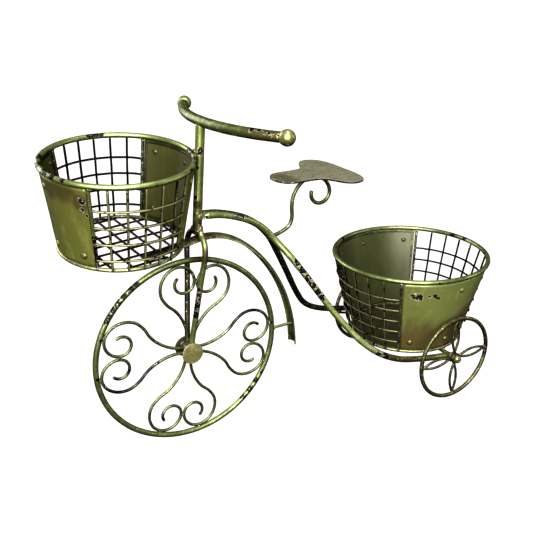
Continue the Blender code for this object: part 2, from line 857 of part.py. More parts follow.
def middle_across(pieces):
    """The Y halfway between the outermost points of some pieces."""
    graph = bpy.context.evaluated_depsgraph_get()
    across = []
    for piece in pieces:
        made = piece.evaluated_get(graph)
        across += [(made.matrix_world @ vertex.co).y for vertex in made.data.vertices]
    return (min(across) + max(across)) / 2


def column_foot_rise():
    """How far the column's square-cut foot stays above the front wheel's centre, clear of the mudguard."""
    across = (-column_radius, 0, column_radius)
    return max(crown_at(0, column_foot_x + x) + x * math.tan(column_lean) for x in across) + seat_gap


# Heights and places that follow from the sizes above
mudguard_reach = front_rim_radius + front_rim_rod_radius + mudguard_clearance + mudguard_thickness
column_lean = math.radians(column_lean_degrees)
front_hub_z = facet_reach(front_rim_radius, front_rim_rod_radius, front_rim_steps, rim_sides)
axle_z = facet_reach(rear_rim_radius, rear_rim_rod_radius, rear_rim_steps, rim_sides)
column_foot_z = front_hub_z + column_foot_rise()
rear_hub_inner_y = frame_half_width + frame_rod_radius + seat_gap
rear_wheel_y = rear_hub_inner_y + rear_hub_length / 2
axle_cap_y = rear_hub_inner_y + rear_hub_length + seat_gap

clear_scene()
planter = make_collection("bicycle_planter")
cutters = make_collection("cutters")
body_frame = make_empty("planter_frame", (0, 0, 0))
wheel_frame = make_empty("front_wheel_centre", (0, 0, front_hub_z), body_frame)
build_front_wheel()
build_scrolls()
build_mudguard()
handlebar_weld = build_column_and_fork()
grip_balls = build_handlebar(handlebar_weld)
right_route, fork_point = frame_route()
build_frame_rods(right_route)
build_seat(fork_point)
build_axle()
for wheel_side, wheel_label in rider_sides:
    build_rear_wheel(wheel_side, wheel_label)
front_end_x = build_front_basket()
rear_end_x = build_rear_basket()
body_frame.location = (-(front_end_x + rear_end_x) / 2, -middle_across(grip_balls), 0)
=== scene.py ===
# %% [markdown]
# # Dressing a planter bent from painted rod
# The real object is a garden planter in the shape of an old tricycle. It is steel rod, sheet and
# wire, welded together, painted green, rubbed with a lighter green, washed with brown and chipped
# on purpose so that it looks old. The CAD model already gives every place and size. This lesson
# keeps those places and adds what makes the thing look real: round sections, welds, rivets, folded
# edges and the layers of old paint.

import itertools
import math
from types import SimpleNamespace

import bmesh
import bpy
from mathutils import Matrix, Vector, kdtree, noise
from mathutils.bvhtree import BVHTree


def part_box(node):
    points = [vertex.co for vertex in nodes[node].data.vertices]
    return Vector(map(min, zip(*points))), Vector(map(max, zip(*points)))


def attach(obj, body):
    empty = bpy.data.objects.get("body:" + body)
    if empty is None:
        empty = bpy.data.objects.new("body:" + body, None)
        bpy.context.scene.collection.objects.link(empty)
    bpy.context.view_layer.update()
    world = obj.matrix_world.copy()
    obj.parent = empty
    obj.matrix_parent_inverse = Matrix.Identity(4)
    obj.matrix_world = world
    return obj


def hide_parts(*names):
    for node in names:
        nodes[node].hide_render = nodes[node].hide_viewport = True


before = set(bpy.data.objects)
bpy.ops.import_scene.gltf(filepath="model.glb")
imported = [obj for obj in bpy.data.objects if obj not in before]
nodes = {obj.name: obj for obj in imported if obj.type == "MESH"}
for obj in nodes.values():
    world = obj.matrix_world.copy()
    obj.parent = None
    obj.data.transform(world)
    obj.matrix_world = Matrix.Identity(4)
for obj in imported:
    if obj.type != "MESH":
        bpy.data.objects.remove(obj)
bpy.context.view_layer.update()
scene = bpy.context.scene
mm = 0.001
fixed = "planter_frame"


def middle_of(node):
    """The middle of a CAD node's box."""
    low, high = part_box(node)
    return (low + high) / 2


def cad_corners(node):
    """The places of a CAD node's vertices."""
    return [vertex.co for vertex in nodes[node].data.vertices]


def half_box(node):
    """Half the sides of a CAD node's box."""
    low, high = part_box(node)
    return (high - low) / 2


def spaced(count, first=0.0, last=1.0):
    """Evenly spaced numbers from first to last, with count gaps between them."""
    return [first + (last - first) * k / count for k in range(count + 1)]


# %% [markdown]
# ## The camera
# A photograph fixes where the camera stood, which way it looked and how long its lens was. Here
# those came from the two basket rims, the wheels and the handlebar. The camera's place is given from
# the middle of the front wheel. A camera object looks along its own -Z axis, so its +Z axis is
# turned towards the vector that points back to the viewer.

# %% Set up the camera
photo_width = 533
camera_azimuth = math.radians(-29.8)
camera_elevation = math.radians(22.5)
camera_from_wheel = Vector((-0.3229, -0.7591, 0.45205))
back = Vector((
    math.sin(camera_azimuth) * math.cos(camera_elevation),
    -math.cos(camera_azimuth) * math.cos(camera_elevation),
    math.sin(camera_elevation),
))
lens = bpy.data.cameras.new("photo_camera")
lens.lens = 50.17
lens.sensor_width = 36
camera = bpy.data.objects.new("photo_camera", lens)
camera.location = middle_of("front_rim") + camera_from_wheel
camera.rotation_euler = back.to_track_quat("Z", "Y").to_euler()
scene.collection.objects.link(camera)
scene.camera = camera
print("camera at", tuple(camera.location), "lens", lens.lens)

# %% [markdown]
# ## Soft studio light
# In the photograph the middle of every rod is evenly lit and its two edges are nearly black. That
# comes from one very large soft lamp beside the camera in a room that is dark otherwise: the middle
# of a rod mirrors the lamp and its edges mirror the dark. So the main lamp is more than two metres
# wide and stands up and to the left, as the highlights on the basket rims show. Three weak lamps
# only keep the top and the back from going black, and the one behind stands where the flat saddle
# doesn't mirror it. A stronger contrast than the plain one matches the photograph's hard tones.

# %% Place the lamps
lamp_aim = Vector((0, 0, 0.2))


def soft_lamp(name, place, size, power):
    """A square lamp that shines from place at the planter, and that the camera doesn't see."""
    lamp_data = bpy.data.lights.new(name, "AREA")
    lamp_data.shape = "SQUARE"
    lamp_data.size = size
    lamp_data.energy = power
    lamp = bpy.data.objects.new(name, lamp_data)
    lamp.location = place
    lamp.rotation_euler = (Vector(place) - lamp_aim).to_track_quat("Z", "Y").to_euler()
    lamp.visible_camera = False
    scene.collection.objects.link(lamp)


soft_lamp("main_lamp", (-1.05, -1.6, 1.35), 2.2, 190)
soft_lamp("top_lamp", (0.1, -0.2, 1.9), 0.9, 9)
soft_lamp("side_lamp", (1.5, -0.9, 0.7), 0.6, 6)
soft_lamp("back_lamp", (-1.0, 1.8, 0.9), 1.5, 30)
scene.view_settings.view_transform = "Standard"
scene.view_settings.look = "Medium High Contrast"

# %% [markdown]
# ## A short way to write nodes
# A material is a net of nodes. Written out in full, each node takes many lines, so one helper adds
# a node, sets its options and fills its sockets with plain values or with the output of another
# node. A few more name the sums that are used all the time.

# %% Node helpers
def fill(tree, inputs, sockets):
    """Fills sockets, told by name or number, with plain values or with the outputs of other nodes."""
    for socket, value in sockets.items():
        if isinstance(value, bpy.types.NodeSocket):
            tree.links.new(value, inputs[socket])
        else:
            inputs[socket].default_value = value


def put(tree, kind, sockets, **options):
    """Adds a node, with its options and its sockets."""
    node = tree.nodes.new(kind)
    for option, value in options.items():
        setattr(node, option, value)
    fill(tree, node.inputs, sockets)
    return node


def calc(tree, operation, first, second=0.0, clamp=False):
    """One sum on two numbers."""
    return put(tree, "ShaderNodeMath", {0: first, 1: second}, operation=operation, use_clamp=clamp).outputs[0]


def vector_calc(tree, operation, first, second=(0, 0, 0)):
    """One sum on two vectors. Gives all outputs, since some sums end in a number."""
    return put(tree, "ShaderNodeVectorMath", {0: first, 1: second}, operation=operation).outputs


def between(tree, value, low, high):
    """0 below low, 1 above high, with a soft step from one to the other."""
    sockets = {"Value": value, "From Min": low, "From Max": high}
    return put(tree, "ShaderNodeMapRange", sockets, interpolation_type="SMOOTHSTEP").outputs["Result"]


def layer(tree, share, under, over):
    """One colour laid over another as far as share says."""
    return put(tree, "ShaderNodeMix", {0: share, 6: under, 7: over}, data_type="RGBA").outputs[2]


def grain(tree, vector, scale, detail=3.0, roughness=0.5):
    """Cloudy noise around 0.5, with scale lumps to the metre."""
    sockets = {"Vector": vector, "Scale": scale, "Detail": detail, "Roughness": roughness}
    return put(tree, "ShaderNodeTexNoise", sockets).outputs[0]


def colour(screen):
    """A paint colour read off a screen, 0 to 255, as the linear light that Blender works in."""
    parts = [part / 255 for part in screen]
    linear = [part / 12.92 if part < 0.04045 else ((part + 0.055) / 1.055) ** 2.4 for part in parts]
    return (*linear, 1)


# %% [markdown]
# ## The world and the floor
# The floor is a plain pale sheet. It glows a little for the camera, so it stays near white and
# keeps only the faintest shadow, and it is dull for other rays, so that it doesn't light the
# undersides of the rods, which are dark in the photograph.

# %% Make the world and the floor
def camera_choice(tree, for_camera, for_others):
    """One shader for what the camera sees directly, and another for all other light."""
    seen = put(tree, "ShaderNodeLightPath", {}).outputs["Is Camera Ray"]
    return put(tree, "ShaderNodeMixShader", {0: seen, 1: for_others, 2: for_camera}).outputs[0]


world = bpy.data.worlds.new("white_room")
world.use_nodes = True
scene.world = world
sky = world.node_tree
white_sky = put(sky, "ShaderNodeBackground", {"Color": (1, 1, 1, 1), "Strength": 1.0}).outputs[0]
dim_sky = put(sky, "ShaderNodeBackground", {"Color": (1, 1, 0.97, 1), "Strength": 0.01}).outputs[0]
sky.links.new(camera_choice(sky, white_sky, dim_sky), sky.nodes["World Output"].inputs["Surface"])

floor_paint = bpy.data.materials.new("pale_floor")
floor_paint.use_nodes = True
sheet = floor_paint.node_tree
sheet.nodes.remove(sheet.nodes["Principled BSDF"])
glow = put(sheet, "ShaderNodeEmission", {"Color": (1, 1, 1, 1), "Strength": 1.0}).outputs[0]
matt = put(sheet, "ShaderNodeBsdfDiffuse", {"Color": (0.02, 0.02, 0.02, 1)}).outputs[0]
pale = put(sheet, "ShaderNodeAddShader", {0: glow, 1: matt}).outputs[0]
sheet.links.new(camera_choice(sheet, pale, matt), sheet.nodes["Material Output"].inputs["Surface"])

floor_mesh = bmesh.new()
bmesh.ops.create_grid(floor_mesh, x_segments=4, y_segments=4, size=30)
floor_data = bpy.data.meshes.new("floor")
floor_mesh.to_mesh(floor_data)
floor = bpy.data.objects.new("floor", floor_data)
floor.location.z = -0.3 * mm
floor_data.materials.append(floor_paint)
scene.collection.objects.link(floor)
print("floor and world are in place")

# %% [markdown]
# ## Paint effects as node groups
# The same ageing runs over every piece: cloudy brown wash, light green rubbed over the tops, and
# chips down to black metal with a pale lip of primer. Each effect is a node group, built once. A
# group takes named values and gives back colours, masks and heights. The shader itself stays in
# the material.

# %% A helper that starts a group
def new_group(name, takes, gives):
    """An empty group with named sockets, told by their kind or, for a number, by its usual value.
    Returns the group, what comes in and where results go."""
    group = bpy.data.node_groups.new(name, "ShaderNodeTree")
    for label, usual in takes.items():
        kind = usual if isinstance(usual, str) else "Float"
        socket = group.interface.new_socket(label, in_out="INPUT", socket_type="NodeSocket" + kind)
        if kind == "Float":
            socket.default_value = usual
    for label, kind in gives.items():
        group.interface.new_socket(label, in_out="OUTPUT", socket_type="NodeSocket" + kind)
    return group, put(group, "NodeGroupInput", {}).outputs, put(group, "NodeGroupOutput", {}).inputs


def use_group(tree, name, sockets):
    """Places a group in a material and returns its outputs."""
    return put(tree, "ShaderNodeGroup", sockets, node_tree=bpy.data.node_groups[name]).outputs


# %% [markdown]
# ** Top Side** says how far a surface faces up. It reads the object's own normal, which turns with
# the piece, so paint stays put when a wheel turns. Old Paint uses it to paint light and shade:
# lighter tops and darker undersides.

# %% Group: Top Side
group, takes, gives = new_group("Top Side", {"Normal": "Vector"}, {"Top": "Float"})
height = put(group, "ShaderNodeSeparateXYZ", {0: takes["Normal"]}).outputs["Z"]
fill(group, gives, {"Top": calc(group, "ADD", calc(group, "MULTIPLY", height, 0.5), 0.5)})
print("group:", group.name)

# %% [markdown]
# **Worn Place** marks a soft round place on the object. A chain of them gathers every knock that
# the photograph shows into one mask.
# The same group also marks the stains and the spots of painted shade.

# %% Group: Worn Place
sockets = {"Vector": "Vector", "Place": "Vector", "Reach": 0.01, "Wear": 0.0}
group, takes, gives = new_group("Worn Place", sockets, {"Wear": "Float"})
gap = vector_calc(group, "DISTANCE", takes["Vector"], takes["Place"])["Value"]
share = calc(group, "DIVIDE", gap, takes["Reach"])
near = calc(group, "SUBTRACT", 1.0, between(group, share, 0.25, 1.0))
fill(group, gives, {"Wear": calc(group, "MAXIMUM", near, takes["Wear"])})
print("group:", group.name)

# %% [markdown]
# ** Old Paint** lays the colours over each other: the green itself, the brown wash in clouds and the
# rubbed light green. It also paints light and shade by the way a surface faces: more rubbing on the
# tops and more wash below, and black painted shade on the undersides. A stained place gets more wash
# and less rubbing. The group also gives a fine height for the uneven skin of brushed paint, and a
# dullness that follows the clouds.

# %% Group: Old Paint
sockets = {
    "Vector": "Vector", "Paint": "Color", "Rubbed": "Color", "Wash": "Color", "Under": "Color",
    "Wash Share": 0.5, "Rub Share": 0.5, "Top": 0.5, "Stain": 0.0, "Under Share": 0.9, "Under Reach": 0.42,
}
results = {"Color": "Color", "Dullness": "Float", "Height": "Float"}
group, takes, gives = new_group("Old Paint", sockets, results)
clouds = grain(group, takes["Vector"], 26, 4, 0.6)
brush = grain(group, takes["Vector"], 95, 4, 0.65)
skin = grain(group, takes["Vector"], 420, 3, 0.6)
specks = between(group, grain(group, takes["Vector"], 1300, 1), 0.64, 0.74)
# Painted light and shade: tops get more rubbed green and less wash, undersides more wash and less rubbing.
top_light_under_shade = calc(group, "MULTIPLY", calc(group, "SUBTRACT", 0.5, takes["Top"]), 0.35)
wash_level = calc(group, "ADD", clouds, top_light_under_shade)
wash_level = calc(group, "ADD", wash_level, calc(group, "MULTIPLY", takes["Stain"], 0.4))
wash_level = calc(group, "ADD", wash_level, calc(group, "SUBTRACT", takes["Wash Share"], 0.5))
washed = calc(group, "MULTIPLY", between(group, wash_level, 0.36, 0.74), 0.92)
rub_level = calc(group, "SUBTRACT", calc(group, "ADD", brush, takes["Rub Share"]), 0.5)
rub_level = calc(group, "SUBTRACT", rub_level, top_light_under_shade)
rub_level = calc(group, "SUBTRACT", rub_level, calc(group, "MULTIPLY", takes["Stain"], 0.35))
rubbed = calc(group, "MULTIPLY", between(group, rub_level, 0.42, 0.72), 0.85)
tone = layer(group, washed, takes["Paint"], takes["Wash"])
tone = layer(group, rubbed, tone, takes["Rubbed"])
# Painted shade: the undersides turn black, as far as Under Share and Under Reach say.
under_from = calc(group, "SUBTRACT", takes["Under Reach"], 0.34)
under = calc(group, "SUBTRACT", 1.0, between(group, takes["Top"], under_from, takes["Under Reach"]))
tone = layer(group, calc(group, "MULTIPLY", under, takes["Under Share"]), tone, takes["Under"])
tone = layer(group, calc(group, "MULTIPLY", specks, 0.45), tone, takes["Wash"])
relief = calc(group, "ADD", skin, calc(group, "MULTIPLY", brush, 0.5))
fill(group, gives, {"Color": tone, "Dullness": washed, "Height": relief})
print("group:", group.name)

# %% [markdown]
# **Chipped Paint** breaks the paint where the wear is high. Noise decides the ragged outline. Just
# outside each chip a thin pale lip of primer shows, and inside it the metal is almost black.

# %% Group: Chipped Paint
sockets = {
    "Vector": "Vector", "Paint": "Color", "Bare": "Color", "Lip": "Color", "Wear": 0.0, "Chip Size": 0.004,
}
results = {"Color": "Color", "Bare Mask": "Float", "Height": "Float"}
group, takes, gives = new_group("Chipped Paint", sockets, results)
flakes = grain(group, takes["Vector"], calc(group, "DIVIDE", 1.0, takes["Chip Size"]), 5, 0.62)
level = calc(group, "ADD", flakes, calc(group, "MULTIPLY", takes["Wear"], 0.32))
bare = between(group, level, 0.705, 0.72)
lip = calc(group, "SUBTRACT", between(group, level, 0.655, 0.675), bare, True)
tone = layer(group, calc(group, "MULTIPLY", lip, 0.8), takes["Paint"], takes["Lip"])
tone = layer(group, bare, tone, takes["Bare"])
fill(group, gives, {"Color": tone, "Bare Mask": bare, "Height": calc(group, "SUBTRACT", 1.0, bare)})
print("group:", group.name)

# %% [markdown]
# ** Outer Side** is for the baskets. It marks painted light and shade: the sheets, bars, bottom
# rings and rivets are darker on the inside as painted shade, and the nets are near black wire with
# pale patches of painted light on their outside, which is why the near net looks pale and the far
# one black. The mask compares the surface's own direction with the direction away from the middle
# of the basket.

# %% Group: Outer Side
sockets = {"Vector": "Vector", "Normal": "Vector", "Middle": "Vector", "From": 0.0, "To": 0.5}
group, takes, gives = new_group("Outer Side", sockets, {"Outside": "Float"})
away = vector_calc(group, "SUBTRACT", takes["Vector"], takes["Middle"])[0]
unit = vector_calc(group, "NORMALIZE", vector_calc(group, "MULTIPLY", away, (1, 1, 0))[0])[0]
turned_out = vector_calc(group, "DOT_PRODUCT", unit, takes["Normal"])["Value"]
fill(group, gives, {"Outside": between(group, turned_out, takes["From"], takes["To"])})
print("group:", group.name)

# %% [markdown]
# ## Places from the photograph
# Some chips and stains are easiest to name by the pixel where they show. The helper sends a ray
# from the camera through that pixel and returns the point of the named CAD piece that it meets, or
# the nearest one. The mark then sits on the piece itself, whatever the view.

# %% Find a place by its pixel
focal_pixels = lens.lens / lens.sensor_width * photo_width
far_off = 10
bpy.context.view_layer.update()


def touched(start_of_name, x, y):
    """The point on the CAD pieces with that start of name that shows at a pixel of the photograph."""
    eye = camera.location
    pixel = Vector((x - photo_width / 2, photo_width / 2 - y, -focal_pixels))
    ray = (camera.matrix_world.to_3x3() @ pixel).normalized()

    def on_ray(place):
        return eye + ray * (place - eye).dot(ray)

    found = []
    for name, node in nodes.items():
        if name.startswith(start_of_name):
            tree = BVHTree.FromPolygons(cad_corners(name), [face.vertices for face in node.data.polygons])
            place, normal, index, distance = tree.ray_cast(eye, ray)
            if place is None:
                place = middle_of(name)
                for attempt in range(4):
                    place = tree.find_nearest(on_ray(place))[0]
                distance = far_off + (place - on_ray(place)).length
            found.append((distance, place))
    return min(found, key=lambda entry: entry[0])[1]


def places(**marks):
    """Marks are (x, y, reach in millimetres), listed under the start of a CAD name."""
    return [(touched(name, x, y), reach * mm) for name, spots in marks.items() for x, y, reach in spots]


print("a chip on the front panel:", touched("front_basket_panel_front", 82, 201))

# %% [markdown]
# ## The painted metal
# Every finish here is the same layered paint with other colours and amounts, so one function makes
# the material: top side, stains, old paint with its painted light and shade, a painted shade on the
# inside of a basket's pieces, pale painted light on the outside of the nets, chips, and spots of
# painted shade in black, then a Principled shader. The paint holds metal powder, as hammer paint
# does, so the shader is mostly metallic and mirrors the big lamp softly. Brush strokes are noise
# whose coordinates are squeezed along one axis. Numbers that don't change over the surface go
# straight on the shader.

# %% The painted metal function
brown = (58, 46, 26)
pale_green = (150, 160, 104)
# The black below is bare metal in the chips and also the colour of painted shade.
black_metal_and_shade = (12, 10, 9)
cream = (206, 190, 168)


def gather(tree, vector, spots):
    """One mask, 0 to 1, from many places: worn ones, stained ones or spots of painted shade."""
    wear = 0.0
    for place, reach in spots:
        sockets = {"Vector": vector, "Place": place, "Reach": reach, "Wear": wear}
        wear = use_group(tree, "Worn Place", sockets)["Wear"]
    return wear


def painted_metal(
    name, paint, rubbed=pale_green, wash=brown, wash_share=0.5, rub_share=0.5, dull=(0.42, 0.56),
    metallic=0.85, chips=(), stains=(), grime=(), wear=0.12, chip_size=0.004, coat=0.1, bump=0.25,
    under_share=0.9, under_reach=0.42, inside=None, outside=None, streak=(1, 1, 1), lip=cream,
):
    """Layers of old paint on metal, with painted light and shade. dull is the roughness of clean and of
    washed paint. under_share and under_reach set the black painted shade on the undersides. inside is
    (basket, colour, share), a painted shade on the side facing into a basket, and outside is
    (basket, colour), pale painted light on the side facing out. The third list of places, after chips
    and stains, is painted black as shade."""
    material = bpy.data.materials.new(name)
    material.use_nodes = True
    tree = material.node_tree
    where = put(tree, "ShaderNodeTexCoord", {}).outputs
    top = use_group(tree, "Top Side", {"Normal": where["Normal"]})["Top"]
    stain = gather(tree, where["Object"], stains)
    knocks = calc(tree, "ADD", calc(tree, "MULTIPLY", gather(tree, where["Object"], chips), 1 - wear), wear)
    brushed = vector_calc(tree, "MULTIPLY", where["Object"], streak)[0]
    old = use_group(tree, "Old Paint", {
        "Vector": brushed, "Paint": colour(paint), "Rubbed": colour(rubbed), "Wash": colour(wash),
        "Wash Share": wash_share, "Rub Share": rub_share, "Top": top, "Stain": stain,
        "Under": colour(black_metal_and_shade), "Under Share": under_share, "Under Reach": under_reach,
    })
    finished = old["Color"]
    side = {"Vector": where["Object"], "Normal": where["Normal"]}
    # Painted shade on the side that faces into the basket.
    if inside:
        basket, inner_shade_colour, inner_shade_share = inside
        outer = use_group(tree, "Outer Side", {**side, "Middle": basket.foot})["Outside"]
        inner = calc(tree, "MULTIPLY", calc(tree, "SUBTRACT", 1.0, outer), inner_shade_share)
        finished = layer(tree, inner, finished, colour(inner_shade_colour))
    # Pale patches of painted light on the side that faces out of the basket.
    if outside:
        basket, outer_light_colour = outside
        sockets = {**side, "Middle": basket.foot, "From": 0.5, "To": 0.95}
        patches = between(tree, grain(tree, where["Object"], 110, 3, 0.6), 0.34, 0.5)
        outer = calc(tree, "MULTIPLY", use_group(tree, "Outer Side", sockets)["Outside"], patches)
        finished = layer(tree, outer, finished, colour(outer_light_colour))
    chipped = use_group(tree, "Chipped Paint", {
        "Vector": where["Object"], "Paint": finished, "Bare": colour(black_metal_and_shade), "Lip": colour(lip),
        "Wear": knocks, "Chip Size": chip_size,
    })
    finished = chipped["Color"]
    # Painted shade: black spots at the listed places.
    if grime:
        painted_shade = calc(tree, "MULTIPLY", gather(tree, where["Object"], grime), 0.94)
        finished = layer(tree, painted_shade, finished, colour(black_metal_and_shade))
    relief = calc(tree, "ADD", calc(tree, "MULTIPLY", old["Height"], 0.3), chipped["Height"])
    bumps = put(tree, "ShaderNodeBump", {"Height": relief, "Strength": bump, "Distance": 0.35 * mm})
    worn = calc(tree, "MAXIMUM", old["Dullness"], chipped["Bare Mask"])
    roughness = put(tree, "ShaderNodeMapRange", {"Value": worn, "To Min": dull[0], "To Max": dull[1]})
    fill(tree, tree.nodes["Principled BSDF"].inputs, {
        "Base Color": finished, "Roughness": roughness.outputs[0], "Normal": bumps.outputs[0],
        "Metallic": metallic, "Coat Weight": coat, "Coat Roughness": 0.3,
    })
    return material


# %% [markdown]
# ## Reading the rods of the CAD model
# A rod in the CAD model is a tube with a few flat sides. Its middle line is what matters: it tells
# where the real round rod runs. Starting at one flat end, each ring of corners is averaged to one
# point, and the next ring is the set of corners one edge further on. A set of vertices has another
# order in every run, and a sum then differs in its last digit, so the corners are sorted first.

# %% Middle lines of the CAD rods
def ring_middle(ring):
    """The mean place of a set of corners, added up in the order of their numbers."""
    places_in_order = [corner.co for corner in sorted(ring, key=lambda corner: corner.index)]
    return sum(places_in_order, Vector()) / len(ring)


def flat_end(mesh):
    """The corners of one flat end of a tube: a few vertices that share a plane and a small circle."""
    for face in mesh.faces:
        offset = face.normal.dot(face.verts[0].co)
        corners = set()
        for other in mesh.faces:
            apart = abs(face.normal.dot(other.verts[0].co) - offset)
            if face.normal.dot(other.normal) > 0.9999 and apart < 0.01 * mm:
                corners.update(other.verts)
        centre = ring_middle(corners)
        reach = [(corner.co - centre).length for corner in corners]
        if 5 <= len(corners) <= 16 and max(reach) < 8 * mm and max(reach) - min(reach) < 0.02 * max(reach):
            return corners, max(reach)


def middle_line(node):
    """Points along the middle of a CAD rod, from end to end, and the rod's radius."""
    mesh = bmesh.new()
    mesh.from_mesh(nodes[node].data)
    bmesh.ops.remove_doubles(mesh, verts=mesh.verts, dist=0.001 * mm)
    mesh.verts.index_update()
    ring, radius = flat_end(mesh)
    seen = set()
    points = []
    while ring:
        seen |= ring
        points.append(ring_middle(ring))
        ring = {edge.other_vert(corner) for corner in ring for edge in corner.link_edges} - seen
    mesh.free()
    return points, radius


def heading(before, here, after):
    """The direction of a soft curve at one of its points, nearer to that of the shorter side."""
    first = (here - before).length
    second = (after - here).length
    if first == 0 or second == 0:
        return (after - before).normalized()
    return ((here - before) / first * second + (after - here) / second * first) / (first + second)


def smooth(points, step=2 * mm, closed=False):
    """More points on a soft curve through the given ones, about a step apart."""
    count = len(points)
    path = []
    for i in range(count if closed else count - 1):
        start = points[i]
        end = points[(i + 1) % count]
        before = points[i - 1] if closed or i > 0 else start
        after = points[(i + 2) % count] if closed or i + 2 < count else end
        length = (end - start).length
        leave = heading(before, start, end) * length
        arrive = heading(start, end, after) * length
        parts = max(1, round(length / step))
        for part in range(parts):
            t = part / parts
            place = start * (2 * t ** 3 - 3 * t ** 2 + 1) + leave * (t ** 3 - 2 * t ** 2 + t)
            path.append(place + end * (3 * t ** 2 - 2 * t ** 3) + arrive * (t ** 3 - t ** 2))
    if not closed:
        path.append(points[-1].copy())
    return path


def circle(centre, across, up, radius, start=0.0, end=math.tau, steps=96, closed=True):
    """Points round a circle in the plane of across and up."""
    turns = spaced(steps, start, end)[:steps if closed else None]
    return [centre + (across * math.cos(turn) + up * math.sin(turn)) * radius for turn in turns]


print("frame rod:", len(middle_line("frame_rod_left")[0]), "rings")

# %% [markdown]
# ## Round rods
# The quickest round rod in Blender is a curve with a bevel: the points say where it runs and the
# bevel depth is its radius. Each point also has its own radius share, used here for the slightly
# uneven thickness of painted rod and for ends that are rounded over instead of sharply cut.

# %% Make a rod from a path
x_axis, y_axis, z_axis = Vector((1, 0, 0)), Vector((0, 1, 0)), Vector((0, 0, 1))
rounded_end = ((0, 0.6), (0.18, 0.86), (0.5, 1.0))
rod_paths = []


def add_spline(curve, path, closed, radius, uneven):
    """One rod on a curve object. rounded_end is (distance from the end in radii, radius share) pairs."""
    marks = [(place, 1 + uneven * noise.noise(place * 90)) for place in path]
    if not closed:
        for end, inner in ((0, 1), (-1, -2)):
            edge = marks[end][0]
            way = (marks[inner][0] - edge).normalized()
            extra = [(edge + way * radius * along, share) for along, share in rounded_end]
            if end == 0:
                marks[:1] = extra
            else:
                marks[-1:] = extra[::-1]
    spline = curve.splines.new("POLY")
    spline.points.add(len(marks) - 1)
    for point, (place, share) in zip(spline.points, marks):
        point.co = (*place, 1)
        point.radius = share
    spline.use_cyclic_u = closed
    spline.use_smooth = True


def dress(piece, body, slot, material, *replaced):
    """Puts a new piece in the scene, on its body, with its finish, in place of the CAD nodes named."""
    scene.collection.objects.link(piece)
    piece.data.materials.append(material)
    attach(piece, body)
    if replaced:
        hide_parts(*replaced)
    return piece


def rods(name, node, paths, radius, material, slot, body=fixed, closed=False, sides=12, uneven=0.03):
    """One object of one or more round rods, in place of a CAD node."""
    curve = bpy.data.curves.new(name, "CURVE")
    curve.dimensions = "3D"
    curve.bevel_depth = radius
    curve.bevel_resolution = (sides - 4) // 2
    curve.use_fill_caps = True
    for path in paths:
        add_spline(curve, path, closed, radius, uneven)
        rod_paths.append((body, name, path, radius))
    dress(bpy.data.objects.new(name, curve), body, slot, material, node)


def rod(node, path, radius, material, slot="moss_paint", **options):
    """One round rod in place of a CAD node."""
    rods(node + "_round", node, [path], radius, material, slot, **options)


def cad_rod(node, material, step=2 * mm, slot="moss_paint"):
    """A round rod along the middle line of a CAD rod."""
    points, radius = middle_line(node)
    rod(node, smooth(points, step), radius, material, slot)


# %% [markdown]
# ## The frame rods, fork, column and handlebar
# These are the thickest rods, bent cold round a form. The green is brightest here, with brown wash
# at the joints and black chips where the thing has been knocked.

# %% Frame paints
frame_paint = painted_metal(
    "frame_paint", (116, 126, 68), wash_share=0.34, rub_share=0.52,
    chips=places(
        frame_rod_left=[
            (243, 209, 11), (237, 209, 12), (231, 210, 11), (298, 262, 9), (303, 270, 9), (308, 279, 10),
            (313, 286, 9), (318, 292, 8), (322, 297, 8), (372, 352, 7), (378, 354, 8), (386, 356, 9),
        ],
        fork_blade_left=[(198, 289, 6), (197, 297, 9), (196, 306, 11), (195, 315, 9)],
    ),
    stains=places(
        frame_rod_left=[(394, 357, 24), (412, 358, 30), (430, 356, 30), (206, 222, 8)],
        fork_blade_left=[(200, 254, 18)],
    ) + [(middle_of("rear_axle"), 0.12)],
)
column_paint = painted_metal(
    "column_paint", (120, 130, 66), wash_share=0.34,
    chips=places(steering_column=[(200, 152, 7), (197, 168, 4), (196, 198, 5)]),
    stains=places(steering_column=[(198, 240, 44), (197, 232, 26), (197, 205, 8)]),
)
handlebar_paint = painted_metal(
    "handlebar_paint", (88, 95, 48), rubbed=(122, 130, 80), wash=(86, 74, 46), wash_share=0.38, rub_share=0.42,
    chips=places(handlebar=[(252, 129, 6), (258, 130, 4), (269, 133, 3), (279, 136, 4)]),
    stains=places(handlebar=[(262, 134, 26), (275, 136, 16)]),
)
# Painted shade: the far frame rod and fork blade are a darker copy of the frame paint.
far_side_paint = painted_metal(
    "far_side_paint", (66, 64, 38), rubbed=(96, 96, 60), wash=(34, 28, 18), wash_share=0.6, rub_share=0.34,
)
print("frame paints made")

# %% The bent rods
for side, paint in (("left", frame_paint), ("right", far_side_paint)):
    cad_rod("frame_rod_" + side, paint)
    cad_rod("fork_blade_" + side, paint)

bar_points, bar_radius = middle_line("handlebar")
bar_points.sort(key=lambda place: place.y)
bar_front = bar_points[len(bar_points) // 2]
chord = bar_points[-1] - bar_points[0]
chord_middle = (bar_points[0] + bar_points[-1]) / 2
bar_depth = (chord_middle - bar_front).length
sweep_radius = (chord.length ** 2 / 4 + bar_depth ** 2) / (2 * bar_depth)
half_sweep = math.asin(chord.length / 2 / sweep_radius)
to_rear = (chord_middle - bar_front).normalized()
sweep_middle = bar_front + to_rear * sweep_radius
bar_path = circle(sweep_middle, -to_rear, chord.normalized(), sweep_radius, -half_sweep, half_sweep, 60, False)

column_points, column_radius = middle_line("steering_column")
column_points.sort(key=lambda place: place.z)
column_head = column_points[-1] + (column_points[-1] - column_points[0]).normalized() * bar_radius
rod("steering_column", smooth([column_points[0], column_head]), column_radius, column_paint)
rod("handlebar", bar_path, bar_radius, handlebar_paint, sides=16)
print("handlebar sweep radius:", round(sweep_radius, 4))

